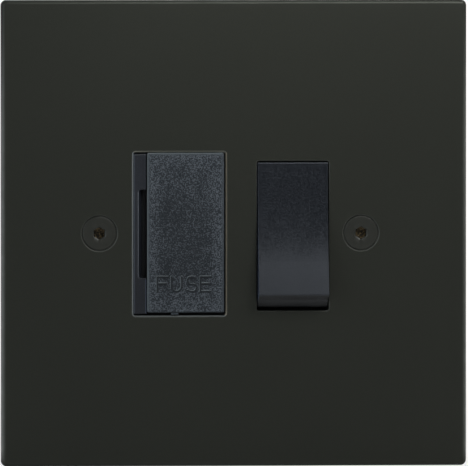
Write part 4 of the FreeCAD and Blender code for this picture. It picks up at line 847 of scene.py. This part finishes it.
class SPUR_OT_conductors(bpy.types.Operator):
    """Finish the brass strips, clips, bars and terminals, and the silver contacts"""

    bl_idname = "spur_unit.conductors"
    bl_label = "Conductors"

    def execute(self, context):
        colours = settings().metal
        brass = (colours.brass, colours.tarnish)
        pressed = metal("pressed_brass", *brass, 0.26, mark=0.2 * MM, streak=(1, 1, 0.15))
        turned = metal("turned_brass", *brass, 0.30, mark=0.12 * MM)
        rivet = metal("contact_silver", colours.silver, scaled(colours.silver, 0.6), 0.24, mark=0.1 * MM)
        for row in frame["record"]["subparts"]:
            node = row["node"]
            if row["material_slot"] == "brass":
                dress(turned if node.endswith("terminal") else pressed, node)
            elif row["material_slot"] == "silver":
                dress(rivet, node)
        return {"FINISHED"}


class SPUR_OT_steel_screws(bpy.types.Operator):
    """Plate the terminal, earth and assembly screws"""

    bl_idname = "spur_unit.steel_screws"
    bl_label = "Steel Screws"

    def execute(self, context):
        zinc = settings().metal.zinc
        plated = metal("zinc_plate", zinc, scaled(zinc, 0.62), 0.30, mark=0.15 * MM)
        for node in NODES:
            if node.endswith("terminal_screw") or node.startswith("assembly_screw"):
                dress(plated, node)
        dress(plated, "earth_screw")
        return {"FINISHED"}


def add_floor(half, height, material):
    """A square floor about the origin."""
    corners = [(-half, -half, height), (half, -half, height), (half, half, height), (-half, half, height)]
    data = bpy.data.meshes.new("floor")
    data.from_pydata(corners, [], [(0, 1, 2, 3)])
    data.materials.append(material)
    plane = bpy.data.objects.new("floor", data)
    bpy.context.collection.objects.link(plane)


def add_lamp(name, place, size, power, tint=(1, 1, 1), aim=(0, 0, 0), spread=180):
    """A soft rectangular lamp that points at the plate."""
    data = bpy.data.lights.new(name, "AREA")
    data.shape = "RECTANGLE"
    data.size, data.size_y = size
    data.energy = power
    data.color = tint
    data.spread = math.radians(spread)
    lamp = bpy.data.objects.new(name, data)
    lamp.location = place
    lamp.rotation_euler = (Vector(aim) - Vector(place)).to_track_quat("-Z", "Y").to_euler()
    bpy.context.collection.objects.link(lamp)


def white_paper():
    """The floor: lit and shaded as paper near the object, and plain white to the camera further away."""
    stage = settings().stage
    finish = Finish("white_paper")
    fibres = finish.noise(0.8 * MM, detail=2.0)
    base = finish.blend(fibres, scaled(stage.floor_colour, 0.97), stage.floor_colour)
    paper = finish.node("ShaderNodeBsdfDiffuse", None, {"Color": base})
    glow = finish.node("ShaderNodeEmission", None, {"Color": (1, 1, 1), "Strength": 1.0})
    to_camera = finish.node("ShaderNodeLightPath", output="Is Camera Ray")
    away = finish.vector_maths("LENGTH", finish.place()).between(0.12, 0.7)
    sockets = {0: to_camera * (0.7 + 0.3 * away), 1: paper, 2: glow}
    mixed = finish.node("ShaderNodeMixShader", None, sockets)
    finish.node("ShaderNodeOutputMaterial", None, {"Surface": mixed})
    return finish.owner


def surroundings(level):
    """A world that is plain white to the camera and dim to all else."""
    finish = Finish("surroundings", world=True)
    to_camera = finish.node("ShaderNodeLightPath", output="Is Camera Ray")
    strength = level + (1.0 - level) * to_camera
    background = finish.node("ShaderNodeBackground", None, {"Color": (1, 1, 1), "Strength": strength})
    finish.node("ShaderNodeOutputWorld", None, {"Surface": background})
    return finish.owner


class SPUR_OT_stage(bpy.types.Operator):
    """Set up the camera, the lamps, the floor and the surroundings"""

    bl_idname = "spur_unit.stage"
    bl_label = "Studio"

    def execute(self, context):
        stage = settings().stage
        scene = context.scene
        scene.view_settings.view_transform = "Standard"
        scene.world = surroundings(stage.world_level)
        add_floor(stage.floor_half, CAD_LOW.z - stage.floor_gap, white_paper())

        plate_low, plate_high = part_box("front_plate")
        target = (plate_low + plate_high) / 2 + Vector((stage.aim_right, 0, stage.aim_up))
        away = Vector((
            math.sin(stage.azimuth) * math.cos(stage.elevation),
            -math.cos(stage.azimuth) * math.cos(stage.elevation),
            math.sin(stage.elevation),
        ))
        data = bpy.data.cameras.new("camera")
        data.sensor_width = 36
        data.lens = data.sensor_width * stage.distance / stage.frame_width
        data.clip_end = 100
        camera = bpy.data.objects.new("camera", data)
        camera.location = target + away * stage.distance
        camera.rotation_euler = (-away).to_track_quat("-Z", "Y").to_euler()
        context.collection.objects.link(camera)
        scene.camera = camera

        add_lamp("key", (0.13, -0.25, 0.235), (0.24, 0.09), stage.key_power)
        add_lamp("left_panel", (-0.55, -0.28, 0.16), (0.4, 0.6), stage.left_power, (0.86, 0.93, 1.0))
        add_lamp("right_panel", (0.60, -0.12, 0.20), (0.3, 0.6), stage.right_power, (1.0, 0.99, 0.95))
        add_lamp("low_lamp", (-0.35, -0.75, 0.0), (0.5, 0.08), stage.low_power, (1.0, 0.99, 0.97))
        add_lamp("back_panel", (0.35, 1.0, 0.45), (0.7, 0.7), stage.back_power)
        above_plate = (0.05, -0.08, 0.12)
        top_edge = (0.035, 0, 0.06)
        add_lamp("top_lamp", above_plate, (0.16, 0.02), stage.top_power, aim=top_edge, spread=60)
        return {"FINISHED"}


OPERATORS = (
    SPUR_OT_face_plate,
    SPUR_OT_fixing_screws,
    SPUR_OT_mouldings,
    SPUR_OT_fuse_drawer,
    SPUR_OT_rocker,
    SPUR_OT_conductors,
    SPUR_OT_steel_screws,
    SPUR_OT_stage,
)


class SPUR_PT_sidebar(bpy.types.Panel):
    """The unit's operators, in the 3D view's sidebar"""

    bl_label = "Fused Spur Unit"
    bl_idname = "SPUR_PT_sidebar"
    bl_space_type = "VIEW_3D"
    bl_region_type = "UI"
    bl_category = "Spur Unit"

    def draw(self, context):
        for operator in OPERATORS:
            self.layout.operator(operator.bl_idname)


CLASSES = (
    PlateSettings,
    PlasticSettings,
    MetalSettings,
    ThreadSettings,
    StageSettings,
    UnitSettings,
    *OPERATORS,
    SPUR_PT_sidebar,
)


def register():
    """Registers the classes and puts the settings in the scene."""
    for cls in CLASSES:
        bpy.utils.register_class(cls)
    bpy.types.Scene.spur_unit = PointerProperty(type=UnitSettings)


def unregister():
    """Takes the settings and the classes away again."""
    del bpy.types.Scene.spur_unit
    for cls in reversed(CLASSES):
        bpy.utils.unregister_class(cls)


def main():
    """Runs every operator in order."""
    register()
    bpy.ops.spur_unit.face_plate()
    bpy.ops.spur_unit.fixing_screws()
    bpy.ops.spur_unit.mouldings()
    bpy.ops.spur_unit.fuse_drawer()
    bpy.ops.spur_unit.rocker()
    bpy.ops.spur_unit.conductors()
    bpy.ops.spur_unit.steel_screws()
    bpy.ops.spur_unit.stage()


if __name__ == "__main__":
    main()
